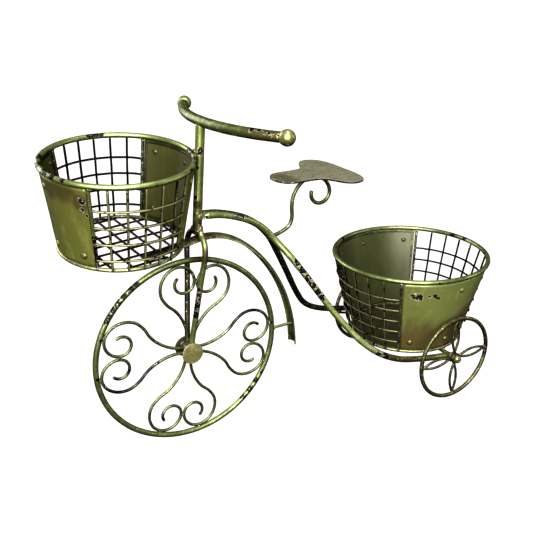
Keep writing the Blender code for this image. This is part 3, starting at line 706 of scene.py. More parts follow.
# %% [markdown]
# ## Turned pieces
# The grip balls, the hubs and the axle caps were turned on a lathe. A lathe shape is an outline of
# distances along and away from an axis, spun round it. The corners of the hubs get a small Bevel
# modifier so that they catch a line of light.

# %% Spin an outline
def spin(mesh, centre, axis, outline, sides=40):
    """Adds a turned shape to a bmesh. outline is (along the axis, away from it) pairs, first end to last."""
    across = axis.orthogonal().normalized()
    up = axis.cross(across).normalized()
    rings = []
    for along, away in outline:
        if away == 0:
            rings.append([mesh.verts.new(centre + axis * along)])
        else:
            ring = circle(centre + axis * along, across, up, away, steps=sides)
            rings.append([mesh.verts.new(place) for place in ring])
    for lower, upper in zip(rings, rings[1:]):
        for i in range(sides):
            j = (i + 1) % sides
            corners = ((lower, i), (lower, j), (upper, j), (upper, i))
            mesh.faces.new(list(dict.fromkeys(ring[step % len(ring)] for ring, step in corners)))
    for ring in (rings[0], rings[-1]):
        if len(ring) > 1:
            mesh.faces.new(ring)


def modifier(piece, kind, **settings):
    """Adds a modifier with its settings."""
    added = piece.modifiers.new(kind.lower(), kind)
    for setting, value in settings.items():
        setattr(added, setting, value)


def mesh_piece(name, mesh, slot, material, *replaced, body=fixed, bevel=0.0):
    """Turns a bmesh into a dressed piece."""
    bmesh.ops.recalc_face_normals(mesh, faces=mesh.faces)
    for face in mesh.faces:
        face.smooth = True
    data = bpy.data.meshes.new(name)
    mesh.to_mesh(data)
    mesh.free()
    piece = bpy.data.objects.new(name, data)
    if bevel:
        modifier(piece, "BEVEL", width=bevel, segments=3, angle_limit=math.radians(35), harden_normals=True)
    return dress(piece, body, slot, material, *replaced)


def turned(node, centre, axis, outline, material, sides=40, **options):
    """A piece spun on a lathe, in place of a CAD node."""
    mesh = bmesh.new()
    spin(mesh, centre, axis, outline, sides)
    mesh_piece(node + "_turned", mesh, "khaki_paint", material, node, **options)


def ball_outline(radius, neck_radius, neck_length, steps=18):
    """A ball on a short neck: the neck first, then a small fillet, then the ball."""
    start = math.asin(min(1, neck_radius / radius))
    neck = -radius * math.cos(start)
    outline = [(neck - neck_length, neck_radius * 0.92), (neck, neck_radius * 1.04)]
    turns = spaced(steps, start, math.pi)[1:-1]
    return outline + [(-radius * math.cos(turn), radius * math.sin(turn)) for turn in turns] + [(radius, 0)]


def spool_outline(half_length, steps):
    """An outline that is alike at both ends. steps are (inset from the end, distance from the axis)."""
    outline = [(inset - half_length, away) for inset, away in steps]
    return outline + [(-along, away) for along, away in reversed(outline)]


def dome_outline(rise, radius, steps, foot=0.0):
    """A dome from just above its foot to its crown."""
    turns = spaced(steps, 0, math.pi / 2)[1:-1]
    return [(foot + (rise - foot) * math.sin(turn), radius * math.cos(turn)) for turn in turns] + [(rise, 0)]


print("a ball outline has", len(ball_outline(8 * mm, 5 * mm, 1 * mm)), "points")

# %% Grip balls
ball_paint = painted_metal(
    "ball_paint", (104, 110, 56), rubbed=(148, 152, 96), wash=(70, 66, 34), wash_share=0.4,
    rub_share=0.46, dull=(0.34, 0.46), metallic=0.7, coat=0.25, chip_size=0.003, under_share=0.8,
)
for side, tip, inner in (("left", 0, 1), ("right", -1, -2)):
    node = "handlebar_ball_" + side
    way = (bar_path[tip] - bar_path[inner]).normalized()
    radius = half_box(node).z * 0.985
    turned(node, middle_of(node), way, ball_outline(radius, bar_radius * 1.16, 1.2 * mm), ball_paint)
print("grip ball radius:", round(radius, 4))

# %% [markdown]
# ## The front wheel
# The rim is a rod bent to a ring. Inside it, eight S-scrolls of thin rod make four hearts between
# the hub and the rim. The rim here is a true circle where the CAD model has many short straights.

# %% Wheel paints
wheel_paint = painted_metal(
    "wheel_paint", (98, 106, 60), rubbed=(138, 148, 94), wash_share=0.42, rub_share=0.46, chip_size=0.0026,
    under_reach=0.48, lip=(122, 120, 82), chips=places(front_rim=[
        (105, 322, 8), (108, 316, 8), (112, 309, 9), (117, 302, 8), (123, 295, 8), (130, 288, 9), (136, 284, 6),
        (243, 397, 8), (249, 389, 9), (256, 380, 8), (262, 372, 6), (271, 322, 4), (274, 346, 4), (98, 380, 5),
        (101, 342, 5),
    ]),
    stains=places(front_rim=[(200, 258, 20)]),
)
scroll_paint = painted_metal(
    "scroll_paint", (86, 92, 56), rubbed=(128, 138, 88), wash=(44, 38, 26), wash_share=0.48, rub_share=0.38,
    chip_size=0.003, under_reach=0.52, chips=places(front_scroll=[
        (158, 364, 7), (206, 395, 7), (152, 370, 7), (118, 391, 7), (172, 276, 4), (210, 280, 5),
    ]),
    # Painted shade: the scrolls go black at these places.
    grime=places(front_scroll=[
        (234, 324, 14), (243, 316, 16), (252, 311, 14), (118, 391, 14), (128, 388, 16), (139, 379, 16),
        (150, 370, 14), (116, 375, 9), (129, 371, 8), (112, 390, 9), (262, 325, 8), (252, 327, 7),
        (197, 415, 8), (162, 420, 8), (211, 277, 7), (177, 279, 7),
    ]),
)
# Painted shade: the far flange and the core behind the near flange go black.
far_flange_shade = middle_of("front_hub") + y_axis * (half_box("front_hub").y + 6 * mm)
hub_paint = painted_metal(
    "hub_paint", (106, 102, 60), rubbed=(142, 140, 96), wash=(68, 60, 34), wash_share=0.42, rub_share=0.46,
    chip_size=0.003, dull=(0.36, 0.5), metallic=0.4, grime=[(far_flange_shade, 0.03)],
)
print("wheel paints made")

# %% Rim, scrolls and hub
front_middle = middle_of("front_rim")
front_rod = half_box("front_rim").y
front_radius = front_middle.z - front_rod - 0.1 * mm
rod("front_rim", circle(front_middle, x_axis, z_axis, front_radius, steps=144), front_rod * 0.98, wheel_paint,
    "olive_paint", closed=True, sides=16)
for number in range(1, 9):
    cad_rod(f"front_scroll_{number}", scroll_paint, 1.5 * mm, "olive_paint")

flange_radius = half_box("front_hub").z * 0.96
flange = 1.8 * mm
core_radius = 7.4 * mm
hub_outline = spool_outline(half_box("front_hub").y, (
    (0, 0), (0, flange_radius * 0.72), (0.25 * mm, flange_radius * 0.97), (0.7 * mm, flange_radius),
    (flange, flange_radius * 0.985), (flange + 0.1 * mm, core_radius * 1.12), (flange + 1 * mm, core_radius),
))
turned("front_hub", middle_of("front_hub"), y_axis, hub_outline, hub_paint, 56, bevel=0.25 * mm)
print("front rim radius:", round(front_radius, 4), "hub flange:", round(flange_radius, 4))

# %% [markdown]
# ## The mudguard
# The mudguard is a narrow half-round channel pressed from strip, so it is a sheet with thickness:
# a grid of points across the channel and along its crown, made solid by the Solidify modifier. The
# crown is read from the CAD mudguard: it is the pair of outer corners next to the middle of each
# section. Its two long edges turn down, and its tail is cut straight.

# %% Mudguard and stay
guard_paint = painted_metal(
    "guard_paint", (110, 116, 70), wash_share=0.42, rub_share=0.46, dull=(0.38, 0.52), chip_size=0.003,
    stains=places(mudguard=[(189, 243, 34), (200, 240, 24), (212, 238, 12), (291, 338, 16)]),
    # Painted shadow: the nose of the mudguard under the front basket goes black.
    grime=places(mudguard=[(144, 254, 22), (152, 252, 22), (162, 250, 18)]),
)
half_width = 9.1 * mm
rise = 4.6 * mm
lean_limit = math.radians(78)
across_steps = 16


def join_rows(mesh, rows, closed=False, wanted=lambda row, step: True):
    """Faces between neighbouring rows of vertices. In closed rows the last vertex meets the first."""
    count = len(rows[0])
    for row, (lower, upper) in enumerate(zip(rows, rows[1:])):
        for i in range(count if closed else count - 1):
            j = (i + 1) % count
            if wanted(row, i):
                mesh.faces.new((lower[i], upper[i], upper[j], lower[j]))


guard_y = middle_of("mudguard").y
guard_corners = cad_corners("mudguard")
offsets = sorted({round(corner.y - guard_y, 5) for corner in guard_corners if corner.y > guard_y})
crown_corners = {
    (round(corner.x, 6), round(corner.z, 6)) for corner in guard_corners
    if abs(corner.y - guard_y - offsets[1]) < 0.05 * mm
}
crown = [Vector((x, guard_y, z)) for x, z in crown_corners]
crown.sort(key=lambda place: math.atan2(place.z - front_middle.z, place.x - front_middle.x))
crown_path = smooth(crown, 2.5 * mm)
mesh = bmesh.new()
grid = []
for i, place in enumerate(crown_path):
    along = crown_path[min(i + 1, len(crown_path) - 1)] - crown_path[max(i - 1, 0)]
    way = y_axis.cross(along).normalized()
    row = []
    for lean in spaced(across_steps, -lean_limit, lean_limit):
        side_share = math.sin(lean) / math.sin(lean_limit)
        drop = rise * (1 - math.cos(lean)) / (1 - math.cos(lean_limit))
        row.append(mesh.verts.new(place - way * drop + y_axis * half_width * side_share))
    grid.append(row)
join_rows(mesh, grid)
guard = mesh_piece("mudguard_channel", mesh, "olive_paint", guard_paint, "mudguard")
modifier(guard, "SOLIDIFY", thickness=1.1 * mm, offset=-1)
modifier(guard, "BEVEL", width=0.3 * mm, segments=2)
cad_rod("mudguard_stay", frame_paint)
print("mudguard sections:", len(crown), "offsets:", offsets[:4])

# %% [markdown]
# ## The seat
# The saddle is a heart-shaped steel plate on a scrolled rod. Its outline is read from the CAD
# plate, drawn again as a soft curve, and filled by shrinking that curve towards a middle point.
# The plate is a little crowned, as hammered sheet is, and its rim is rounded.

# %% Saddle and seat post
saddle_paint = painted_metal(
    "saddle_paint", (103, 101, 80), rubbed=(128, 126, 103), wash=(76, 71, 50), wash_share=0.42, rub_share=0.46,
    # Painted shade: the under colour covers the whole side of the plate, so its rim is black.
    metallic=0.3, chip_size=0.003, under_share=1.0, under_reach=0.99,
    chips=places(saddle=[(303, 171, 3), (274, 180, 3), (320, 186, 2)]),
    stains=places(saddle=[(278, 177, 26), (290, 180, 18)]),
)
post_paint = painted_metal(
    "post_paint", (84, 90, 50), rubbed=(112, 118, 74), wash=(44, 38, 22), rub_share=0.4, under_reach=0.5,
)
cad_rod("seat_post", post_paint, 1.5 * mm)


def fill_rings(mesh, middle_point, rings):
    """Faces from a middle point to the first of several closed rings of vertices, and on to the last."""
    hub = mesh.verts.new(middle_point)
    for i, corner in enumerate(rings[0]):
        mesh.faces.new((hub, corner, rings[0][(i + 1) % len(rings[0])]))
    join_rows(mesh, rings, closed=True)


saddle_low, saddle_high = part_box("saddle")
centre = Vector((saddle_low.x + 0.6 * (saddle_high.x - saddle_low.x), middle_of("saddle").y, saddle_high.z))
corners = [corner for corner in cad_corners("saddle") if corner.z > saddle_high.z - 0.05 * mm]
corners = list({(round(corner.x, 6), round(corner.y, 6)): corner for corner in corners}.values())
corners.sort(key=lambda corner: math.atan2(corner.y - centre.y, corner.x - centre.x))
outline = smooth(corners, 3 * mm, closed=True)
hammered = 0.35 * mm
rim_drop = 0.5 * mm
ring_count = 12
mesh = bmesh.new()
rings = []
for share in spaced(ring_count)[1:]:
    row = []
    for place in outline:
        at = centre + (place - centre) * share
        at.z -= hammered * (1 - noise.noise(Vector((at.x * 40, at.y * 40, 0)))) + rim_drop * share ** 4
        row.append(mesh.verts.new(at))
    rings.append(row)
fill_rings(mesh, centre, rings)
saddle = mesh_piece("saddle_plate", mesh, "saddle_paint", saddle_paint, "saddle")
modifier(saddle, "SOLIDIFY", thickness=2.4 * mm, offset=-1)
modifier(saddle, "BEVEL", width=0.45 * mm, segments=3)
print("saddle outline points:", len(outline))

# %% [markdown]
# ## The baskets
# Each basket is a cone: a small ring below, a large ring above, two curved sheets on opposite
# sides and two wire nets between them, with a bar down each seam. Everything about a cone is told
# by its two rings, so a small record of the rings lets one function place points on either basket.

# %% Basket frames
def basket_frame(end):
    """Where a basket is: the middle of its bottom ring, its axis, its radii and its height."""
    name = end + "_basket"
    foot = middle_of(name + "_bottom_ring")
    head = middle_of(name + "_top_ring")
    axis = (head - foot).normalized()
    basket = SimpleNamespace(
        end=end, name=name, foot=foot, axis=axis, side=axis.cross(x_axis), height=(head - foot).length,
        bottom_rod=2.3 * mm, top_rod=3.25 * mm,
    )
    for ring, middle_point in (("bottom", foot), ("top", head)):
        aways = [corner - middle_point for corner in cad_corners(f"{name}_{ring}_ring")]
        reach = [(away - axis * away.dot(axis)).length for away in aways]
        setattr(basket, ring, (max(reach) + min(reach)) / 2)
    return basket


def basket_point(basket, turn, radius, height):
    """A point at a turn, in degrees from the back of the planter, a distance from the axis and a height."""
    angle = math.radians(turn)
    out = x_axis * math.cos(angle) + basket.side * math.sin(angle)
    return basket.foot + basket.axis * height + out * radius


def wall(basket, height):
    """The radius of the basket's wall at a height."""
    return basket.bottom + (basket.top - basket.bottom) * height / basket.height


front = basket_frame("front")
rear = basket_frame("rear")
for basket in (front, rear):
    print(basket.name, "from", round(basket.bottom, 4), "to", round(basket.top, 4))

# %% [markdown]
# The finishes of the baskets differ from piece to piece. The top rings are the glossiest green,
# chipped to black where the baskets were knocked. The sheets are olive with upright brush strokes
# and brown stains, and darker inside as painted shade. The net is black wire with pale patches of
# painted light on its outside.

# %% Basket paints
ring_chips = places(
    front_basket_top_ring=[
        (190, 149, 9), (195, 153, 11), (198, 159, 12), (197, 166, 11), (192, 172, 7), (37, 156, 13),
        (39, 164, 14), (45, 171, 12), (52, 176, 7), (90, 134, 7), (96, 133, 8), (102, 134, 6), (155, 187, 6),
        (82, 189, 7), (62, 180, 5), (118, 191, 4),
    ],
    rear_basket_top_ring=[
        (356, 236, 7), (342, 246, 5), (398, 284, 6), (405, 286, 4), (425, 286, 6), (440, 284, 4), (452, 235, 7),
        (464, 239, 8), (476, 248, 5),
    ],
)
seam_chips = places(
    front_basket_edge_bar=[(97, 240, 10), (98, 252, 14), (98, 262, 12), (139, 160, 8), (95, 200, 5)],
)
ring_paints = {}
seam_paints = {}
net_paints = {}
for basket, ring_paint, ring_rubbed, seam_paint, seam_wash, net_paint in (
    (front, (118, 130, 70), (150, 160, 104), (118, 126, 64), 0.42, (140, 136, 96)),
    (rear, (98, 106, 58), (134, 144, 92), (86, 86, 46), 0.5, (126, 118, 88)),
):
    ring_paints[basket.name] = painted_metal(
        basket.name + "_ring_paint", ring_paint, rubbed=ring_rubbed, wash_share=0.36, dull=(0.36, 0.5),
        metallic=0.8, coat=0.15, chip_size=0.0028, under_reach=0.46, lip=(150, 146, 108), chips=ring_chips,
    )
    # Painted shade: the seam bars and the bottom rings are dark on the side that faces in.
    seam_paints[basket.name] = painted_metal(
        basket.name + "_seam_paint", seam_paint, wash=(46, 36, 22), wash_share=seam_wash, wear=0.22,
        chip_size=0.0028, inside=(basket, (20, 19, 11), 0.85), chips=seam_chips,
    )
    # The nets: near black wire with pale patches of painted light on the outside.
    net_paints[basket.name] = painted_metal(
        basket.end + "_net_paint", (10, 9, 6), rubbed=(30, 28, 19), wash=(8, 7, 5), rub_share=0.22,
        metallic=0.95, wear=0.0, chip_size=0.002, coat=0.0, dull=(0.55, 0.65), outside=(basket, net_paint),
    )
sheet_finish = {
    "wash_share": 0.38, "rub_share": 0.46, "dull": (0.4, 0.5), "metallic": 0.4, "bump": 0.14, "wear": -0.3,
    "under_share": 0,
}
# Painted shade: the sheets are dark olive on their inner face.
front_panel_paint = painted_metal(
    "front_panel_paint", (96, 97, 44), rubbed=(128, 128, 70), wash=(66, 58, 28), **sheet_finish,
    inside=(front, (54, 54, 24), 0.84), streak=(1, 1, 0.3),
    chips=places(front_basket_panel_front=[(82, 202, 7), (82, 210, 5), (87, 192, 4), (87, 216, 3)]),
    stains=places(front_basket_panel_front=[(60, 188, 26), (80, 203, 14), (50, 190, 18)]),
)
rear_panel_paint = painted_metal(
    "rear_panel_paint", (112, 118, 64), rubbed=(136, 146, 86), wash=(86, 72, 40), **sheet_finish,
    inside=(rear, (42, 43, 19), 0.88), streak=(1, 1, 0.4),
    chips=places(rear_basket_panel_left=[
        (414, 296, 9), (419, 298, 11), (430, 297, 5), (435, 296, 6), (438, 298, 5),
    ]),
    stains=places(rear_basket_panel_left=[(418, 352, 72), (446, 354, 74), (482, 330, 40)]),
)
floor_net_paint = painted_metal(
    "floor_net_paint", (12, 11, 8), rubbed=(92, 88, 60), wash=(8, 7, 5), rub_share=0.26, metallic=0.9,
    wear=0.05, chip_size=0.002, dull=(0.6, 0.7),
)
print("basket paints made")

# %% [markdown]
# ### Rings and seam bars
# The rings are rods again. The seam bars are straight rods down the edges of the nets. A CAD ring is
# a chain of short straights, so a true circle through its corners would stand a little outside its
# box. The top rings are made smaller by that much.

# %% Basket rings and bars
ring_slack = 0.4 * mm
for basket in (front, rear):
    name = basket.name
    for ring, radius, rod_radius, height, paint in (
        ("_bottom_ring", basket.bottom, basket.bottom_rod, 0, seam_paints[name]),
        ("_top_ring", basket.top - ring_slack, basket.top_rod, basket.height, ring_paints[name]),
    ):
        path = circle(basket.foot + basket.axis * height, x_axis, basket.side, radius, steps=120)
        rod(name + ring, path, rod_radius, paint, closed=True, sides=16)
    for number in range(1, 5):
        node = f"{name}_edge_bar_{number}"
        cad_rod(node, seam_paints[name])
print("rings and bars made")

# %% [markdown]
# ### Wire nets
# A net is crossing wires, welded where they cross. The upright wires lean with the cone and the
# level wires run outside them. Real ones are never quite straight, so each wire wanders by a few
# tenths of a millimetre. Blender seeds its noise vectors from the clock, so the cell sets the seed
# first and every run gives the same wires.

# %% Wire nets
noise.seed_set(1)
wire = 1.45 * mm
weld_bite = 0.9
seat = 0.3 * mm
end_gap = 1.4 * mm
end_turn = 1.6 * mm
rungs = 16
row_steps = 40


def wander(place):
    """A small smooth shift that depends only on where the point is."""
    return place + noise.noise_vector(place * 55) * 0.35 * mm


def net(basket, side, facing, half, bays, first_row, row_pitch, rows):
    """One side net: bays between uprights, and level rows, over half degrees to each side of facing."""
    node = basket.name + "_net_" + side
    head = basket.height - basket.top_rod - seat
    foot_radius = basket.bottom + basket.bottom_rod + seat + wire
    spread = wall(basket, head) - foot_radius
    paths = []
    for turn in spaced(bays, facing - half, facing + half)[1:-1]:
        paths.append([
            wander(basket_point(basket, turn, foot_radius + spread * up, head * up)) for up in spaced(rungs)
        ])
    for row in range(rows):
        height = first_row + row_pitch * row
        radius = foot_radius + spread * height / head + wire * (2 - weld_bite)
        reach = half - math.degrees(end_gap / radius)
        paths.append([
            wander(basket_point(basket, facing + reach * across, radius - end_turn * across ** 10, height))
            for across in spaced(row_steps, -1, 1)
        ])
    rods(node + "_wires", node, paths, wire, net_paints[basket.name], "wire_paint", sides=8, uneven=0.08)
    return len(paths)


front_rows = (14.1 * mm, 19.6 * mm, 4)
rear_rows = (18 * mm, 17.5 * mm, 5)
net(front, "right", 90, 40, 6, *front_rows)
net(front, "left", -90, 40, 6, *front_rows)
net(rear, "rear", 0, 44.5, 7, *rear_rows)
print("wires in a rear net:", net(rear, "front", 180, 44.5, 7, *rear_rows))

# %% Front floor net
floor_pitch = 20.5 * mm
floor_turn = 8
floor_steps = 14
inside = front.bottom - front.bottom_rod - seat
paths = []
for level in (0, 1):
    turn = floor_turn + 90 * level
    height = level * wire * (2 - weld_bite)
    count = int((inside - 2 * wire) / floor_pitch)
    along = basket_point(front, turn, 1, 0) - front.foot
    for i in range(-count, count + 1):
        half = math.sqrt(inside ** 2 - (abs(i * floor_pitch) + wire) ** 2)
        middle_point = basket_point(front, turn + 90, i * floor_pitch, height)
        paths.append([wander(middle_point + along * reach) for reach in spaced(floor_steps, -half, half)])
rods("front_basket_floor_wires", "front_basket_floor", paths, wire, floor_net_paint, "wire_paint", sides=8,
     uneven=0.08)
print("floor wires:", len(paths))

# %% [markdown]
# The rear basket stands on a sheet disc, welded inside its bottom ring. It is cut from the same
# sheet as the panels and is a little wavy, so it is a grid of rings with small noise in height. Its
# paint is a much darker olive than the panels, a painted shade.

# %% Rear floor plate
floor_plate_paint = painted_metal(
    "floor_plate_paint", (40, 40, 18), rubbed=(70, 70, 34), wash=(30, 26, 14), rub_share=0.34, dull=(0.5, 0.6),
    metallic=0.4, bump=0.14, wear=-0.3,
)
plate_middle = middle_of("rear_basket_floor")
plate_radius = half_box("rear_basket_floor").y - 0.1 * mm
plate_rings = 16
mesh = bmesh.new()
rings = [
    [mesh.verts.new(place + z_axis * 0.35 * mm * noise.noise(place * 30))
     for place in circle(plate_middle, x_axis, y_axis, radius, steps=72)]
    for radius in spaced(plate_rings, 0, plate_radius)[1:]
]
fill_rings(mesh, plate_middle, rings)
plate = mesh_piece("rear_basket_floor_sheet", mesh, "panel_paint", floor_plate_paint, "rear_basket_floor")
modifier(plate, "SOLIDIFY", thickness=1.0 * mm, offset=0)
print("floor plate radius:", round(plate_radius, 4))

# %% [markdown]
# ### Sheet panels
# A panel is a sheet rolled to the cone. Its upright edges and its top are folded inwards, which
# shows as a rim on the inner face, and six rivets hold it. The sheet is a grid with small dents,
# given thickness by Solidify. The fold is a second, narrower sheet just inside it. Each rivet is a
# low dome with a thin dark disc round it, a painted shade where the dome meets the sheet.

# %% Panels with folded edges and rivets
sheet_thickness = 1.0 * mm
fold_width = 3.6 * mm
fold_thickness = 0.7 * mm
fold_gap = 0.35 * mm
rivet_size = 3.0 * mm
rivet_sides = 20


def panel_span(basket, node):
    """The panel's facing, half angle, lowest and highest place and its radius there, from the CAD sheet."""
    facing = {"front": 180, "rear": 0, "left": -90, "right": 90}[node.rsplit("_", 1)[1]]
    corners = []
    turns = []
    for corner in cad_corners(node):
        away = corner - basket.foot
        height = away.dot(basket.axis)
        flat_part = away - basket.axis * height
        turn = math.degrees(math.atan2(flat_part.dot(basket.side), flat_part.x)) - facing
        corners.append((height, flat_part.length))
        turns.append((turn + 180) % 360 - 180)
    low = min(corners)[0]
    high = max(corners)[0]
    low_radii = [radius for height, radius in corners if height < low + mm]
    high_radii = [radius for height, radius in corners if height > high - mm]
    return facing, max(turns), low, high, sum(low_radii) / len(low_radii), sum(high_radii) / len(high_radii)


def panel(basket, side, material):
    """The sheet, its folded edge and its rivets."""
    node = f"{basket.name}_panel_{side}"
    facing, half, low, high, low_radius, high_radius = panel_span(basket, node)

    def on_sheet(across, up, outwards):
        """across is -1 to 1 round the sheet and up is 0 to 1. The sheet is dented a little in between."""
        radius = low_radius + (high_radius - low_radius) * up
        turn = facing + half * across
        height = low + (high - low) * up
        dent = 0.5 * mm * noise.noise(basket_point(basket, turn, radius, height) * 22)
        free = (1 - across ** 4) * math.sin(math.pi * min(1, max(0, up)))
        return basket_point(basket, turn, radius + outwards + dent * free, height)

    def grid_piece(name, acrosses, ups, outwards, paint, thickness, *replaced, wanted=lambda i, j: True):
        """A sheet through a grid of places, with its thickness."""
        mesh = bmesh.new()
        grid = [[mesh.verts.new(on_sheet(across, up, outwards)) for up in ups] for across in acrosses]
        join_rows(mesh, grid, wanted=wanted)
        bmesh.ops.delete(mesh, geom=[v for v in mesh.verts if not v.link_faces], context="VERTS")
        piece = mesh_piece(node + name, mesh, "panel_paint", paint, *replaced)
        modifier(piece, "SOLIDIFY", thickness=thickness, offset=0)
        return piece

    grid_piece("_sheet", spaced(48, -1, 1), spaced(24), 0, material, sheet_thickness, node)

    fold = fold_width / ((low_radius + high_radius) / 2 * math.radians(half))
    fold_up = fold_width / (high - low)
    acrosses = [-1, -1 + fold * 0.5, *spaced(32, -1 + fold, 1 - fold), 1 - fold * 0.5, 1]
    ups = [*spaced(14, 0, 1 - fold_up), 1 - fold_up * 0.5, 1 - fold_up * 0.08]
    inwards = -(sheet_thickness * 0.5 + fold_gap)
    fold_piece = grid_piece(
        "_fold", acrosses, ups, inwards, fold_paint, fold_thickness,
        wanted=lambda i, j: i < 2 or i >= len(acrosses) - 3 or j >= len(ups) - 3,
    )
    modifier(fold_piece, "BEVEL", width=0.25 * mm, segments=2)

    rivets = bmesh.new()
    rivet_shade_rings = bmesh.new()
    dome = [(0, rivet_size)] + dome_outline(rivet_size * 0.45, rivet_size, 6)
    # Painted shade: a thin dark disc round the foot of each rivet.
    shade_ring_outline = [(0, rivet_size * 1.36), (0.12 * mm, rivet_size * 1.3), (0.16 * mm, 0)]
    for across, up in itertools.product((-0.8, 0.06, 0.8), (0.13, 0.86)):
        if node == "front_basket_panel_front" and up > 0.5:
            across *= 1.15
        for outwards in (1, -1):
            seat_place = on_sheet(across, up, outwards * sheet_thickness * 0.45)
            way = (on_sheet(across, up, outwards * sheet_thickness * 2) - seat_place).normalized()
            spin(rivets, seat_place, way, dome, rivet_sides)
            spin(rivet_shade_rings, seat_place, way, shade_ring_outline, rivet_sides)
    mesh_piece(node + "_rivets", rivets, "panel_paint", rivet_paints[basket.name])
    mesh_piece(node + "_rivet_dirt", rivet_shade_rings, "panel_paint", dirt_paint)
    return half


fold_paint = painted_metal(
    "fold_paint", (66, 64, 33), rubbed=(118, 114, 76), wash=(30, 26, 15), wash_share=0.54, rub_share=0.36,
    wear=0.0, under_share=0.4, chip_size=0.003,
)
# Painted shade for the ring round each rivet.
dirt_paint = painted_metal(
    "dirt_paint", (34, 30, 17), rubbed=(60, 56, 32), wash=(22, 18, 11), rub_share=0.4, metallic=0.3,
    dull=(0.6, 0.7), wear=-0.3,
)
# Painted shade: rivet heads on the inside of a basket are darker.
rivet_paints = {
    basket.name: painted_metal(
        basket.name + "_rivet_paint", (104, 104, 50), rubbed=(144, 144, 88), wash=(60, 52, 26),
        wash_share=0.44, metallic=0.55, dull=(0.3, 0.44), wear=-0.1, under_share=0.3,
        inside=(basket, (50, 48, 23), 0.75),
        chips=places(front_basket_panel_front=[(82, 200, 12)], rear_basket_panel_left=[(420, 296, 9)]),
    )
    for basket in (front, rear)
}
panel(front, "front", front_panel_paint)
panel(front, "rear", front_panel_paint)
panel(rear, "left", rear_panel_paint)
print("half angle of a rear panel:", round(panel(rear, "right", rear_panel_paint), 1))

# %% [markdown]
# ## The rear wheels
# Each rear wheel is a small ring with four leaf shapes, each bent from one wire. They are browner
# than the rest. The wheels turn on the fixed axle, so their pieces ride on their own bodies.

# %% Rear wheels
rear_wheel_paint = painted_metal(
    "rear_wheel_paint", (78, 77, 44), rubbed=(120, 120, 78), wash=(36, 30, 18), wash_share=0.54, rub_share=0.4,
    chip_size=0.003, wear=0.16, under_reach=0.5,
)
cap_paint = painted_metal(
    "cap_paint", (90, 92, 56), rubbed=(126, 128, 90), wash=(60, 52, 28), wash_share=0.42, rub_share=0.42,
    chip_size=0.003, metallic=0.6, dull=(0.3, 0.42), coat=0.3,
)
hub_side_paint = painted_metal(
    "hub_side_paint", (52, 48, 28), rubbed=(92, 88, 54), wash=(28, 22, 14), wash_share=0.54, rub_share=0.36,
    chip_size=0.003, metallic=0.7,
)
petal_half_width = 5.5 * mm
petal_wire = 1.85 * mm
petal_steps = 22
axle_bore = 3.6 * mm
for side in ("left", "right"):
    body = "rear_wheel_" + side
    rim_node = "rear_rim_" + side
    hub_node = "rear_hub_" + side
    centre = middle_of(rim_node)
    rim_rod = half_box(rim_node).y
    rim_radius = centre.z - rim_rod - 0.05 * mm
    rod(rim_node, circle(centre, x_axis, z_axis, rim_radius), rim_rod * 0.98, rear_wheel_paint, "olive_paint",
        body=body, closed=True, sides=14)
    hub_radius = half_box(hub_node).z
    hub_outline = spool_outline(half_box(hub_node).y, (
        (0, axle_bore), (0, hub_radius * 0.78), (0.5 * mm, hub_radius * 0.96), (1.1 * mm, hub_radius),
        (2.2 * mm, hub_radius * 0.98), (2.8 * mm, hub_radius * 0.9),
    ))
    turned(hub_node, middle_of(hub_node), y_axis, hub_outline, hub_side_paint, 36, body=body, bevel=0.2 * mm)
    for number in range(4):
        node = f"rear_petal_{side}_{number + 1}"
        angle = math.radians(2 + 90 * number)
        out = x_axis * math.cos(angle) + z_axis * math.sin(angle)
        across = -x_axis * math.sin(angle) + z_axis * math.cos(angle)
        start = hub_radius + petal_wire * 0.6
        end = rim_radius - rim_rod - petal_wire * 0.6
        loop = []
        for first, last in ((0, 1), (1, 0)):
            for share in spaced(petal_steps, first, last)[:-1]:
                bow = (last - first) * petal_half_width * math.sin(math.pi * share) ** 0.85
                loop.append(centre + out * (start + (end - start) * share) + across * bow)
        rods(node + "_wire", node, [loop], petal_wire, rear_wheel_paint, "olive_paint", body=body, closed=True,
             sides=10)

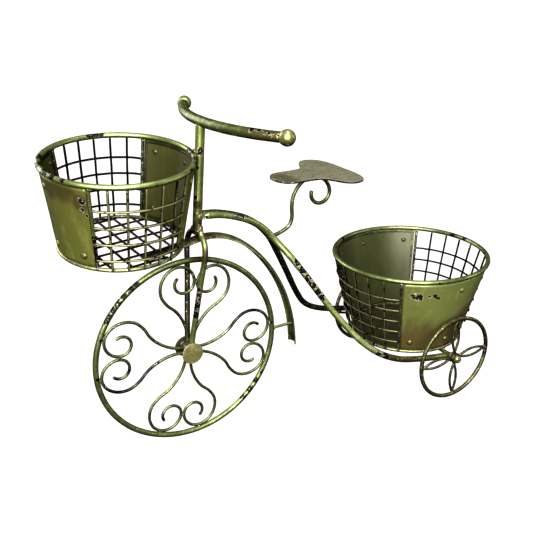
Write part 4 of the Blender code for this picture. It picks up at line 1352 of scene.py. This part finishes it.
axle_points, axle_radius = middle_line("rear_axle")
rod("rear_axle", smooth([axle_points[0], axle_points[-1]]), axle_radius * 0.99, frame_paint)
for side, sign in (("left", -1), ("right", 1)):
    node = "axle_cap_" + side
    radius = half_box(node).z
    rise_of_cap = 2 * half_box(node).y
    foot = middle_of(node) - y_axis * sign * half_box(node).y
    dome = [(0, radius * 0.94), (rise_of_cap * 0.06, radius * 0.99)]
    dome += dome_outline(rise_of_cap, radius * 0.99, 12, rise_of_cap * 0.1)
    turned(node, foot, y_axis * sign, dome, cap_paint)
print("rear wheel radius:", round(rim_radius, 4))

# %% [markdown]
# ## Welds
# Where two rods touch they are welded, and each weld is a small lumpy bead. The script finds them
# by itself: for each pair of rods it looks for the two nearest points, and where the rods touch
# there, it lays a bead between them. Noise makes every bead a little different.

# %% Weld beads
touch_gap = 1.2 * mm


def bead(mesh, place, size, along):
    """A lumpy bead."""
    ball = bmesh.ops.create_icosphere(mesh, subdivisions=3, radius=size)
    for vertex in ball["verts"]:
        vertex.co *= 1 + 0.22 * noise.noise(vertex.co / size * 1.3 + place * 400)
        vertex.co += along * vertex.co.dot(along) * 0.35
        vertex.co += place


weld_paint = painted_metal(
    "weld_paint", (82, 78, 40), rubbed=(118, 114, 70), wash_share=0.58, rub_share=0.36, wear=0.3,
    chip_size=0.0025, metallic=0.55,
)
beads = {}
for number, (other_body, other_name, other_path, other_radius) in enumerate(rod_paths):
    tree = kdtree.KDTree(len(other_path))
    for i, place in enumerate(other_path):
        tree.insert(place, i)
    tree.balance()
    for body, name, path, radius in rod_paths[:number]:
        is_wire = name.endswith("_wires") or other_name.endswith("_wires")
        is_pair = name.startswith("frame_rod") and other_name.startswith("frame_rod")
        is_stem = {name, other_name} == {"steering_column_round", "handlebar_round"}
        if body == other_body and name != other_name and not (is_wire or is_pair or is_stem):
            (there, index, distance), here = min(
                ((tree.find(place), place) for place in path), key=lambda pair: pair[0][2],
            )
            if distance < radius + other_radius + touch_gap:
                way = (there - here).normalized() if distance > 0 else z_axis
                at = here + way * max(0, min(distance, radius))
                beads.setdefault(body, []).append((at, min(radius, other_radius) * 1.12, way))
for body, places_of_beads in beads.items():
    mesh = bmesh.new()
    for at, size, way in places_of_beads:
        bead(mesh, at, size, way.orthogonal().normalized())
    mesh_piece(body + "_welds", mesh, "moss_paint", weld_paint, body=body)
    print("welds on", body, len(places_of_beads))
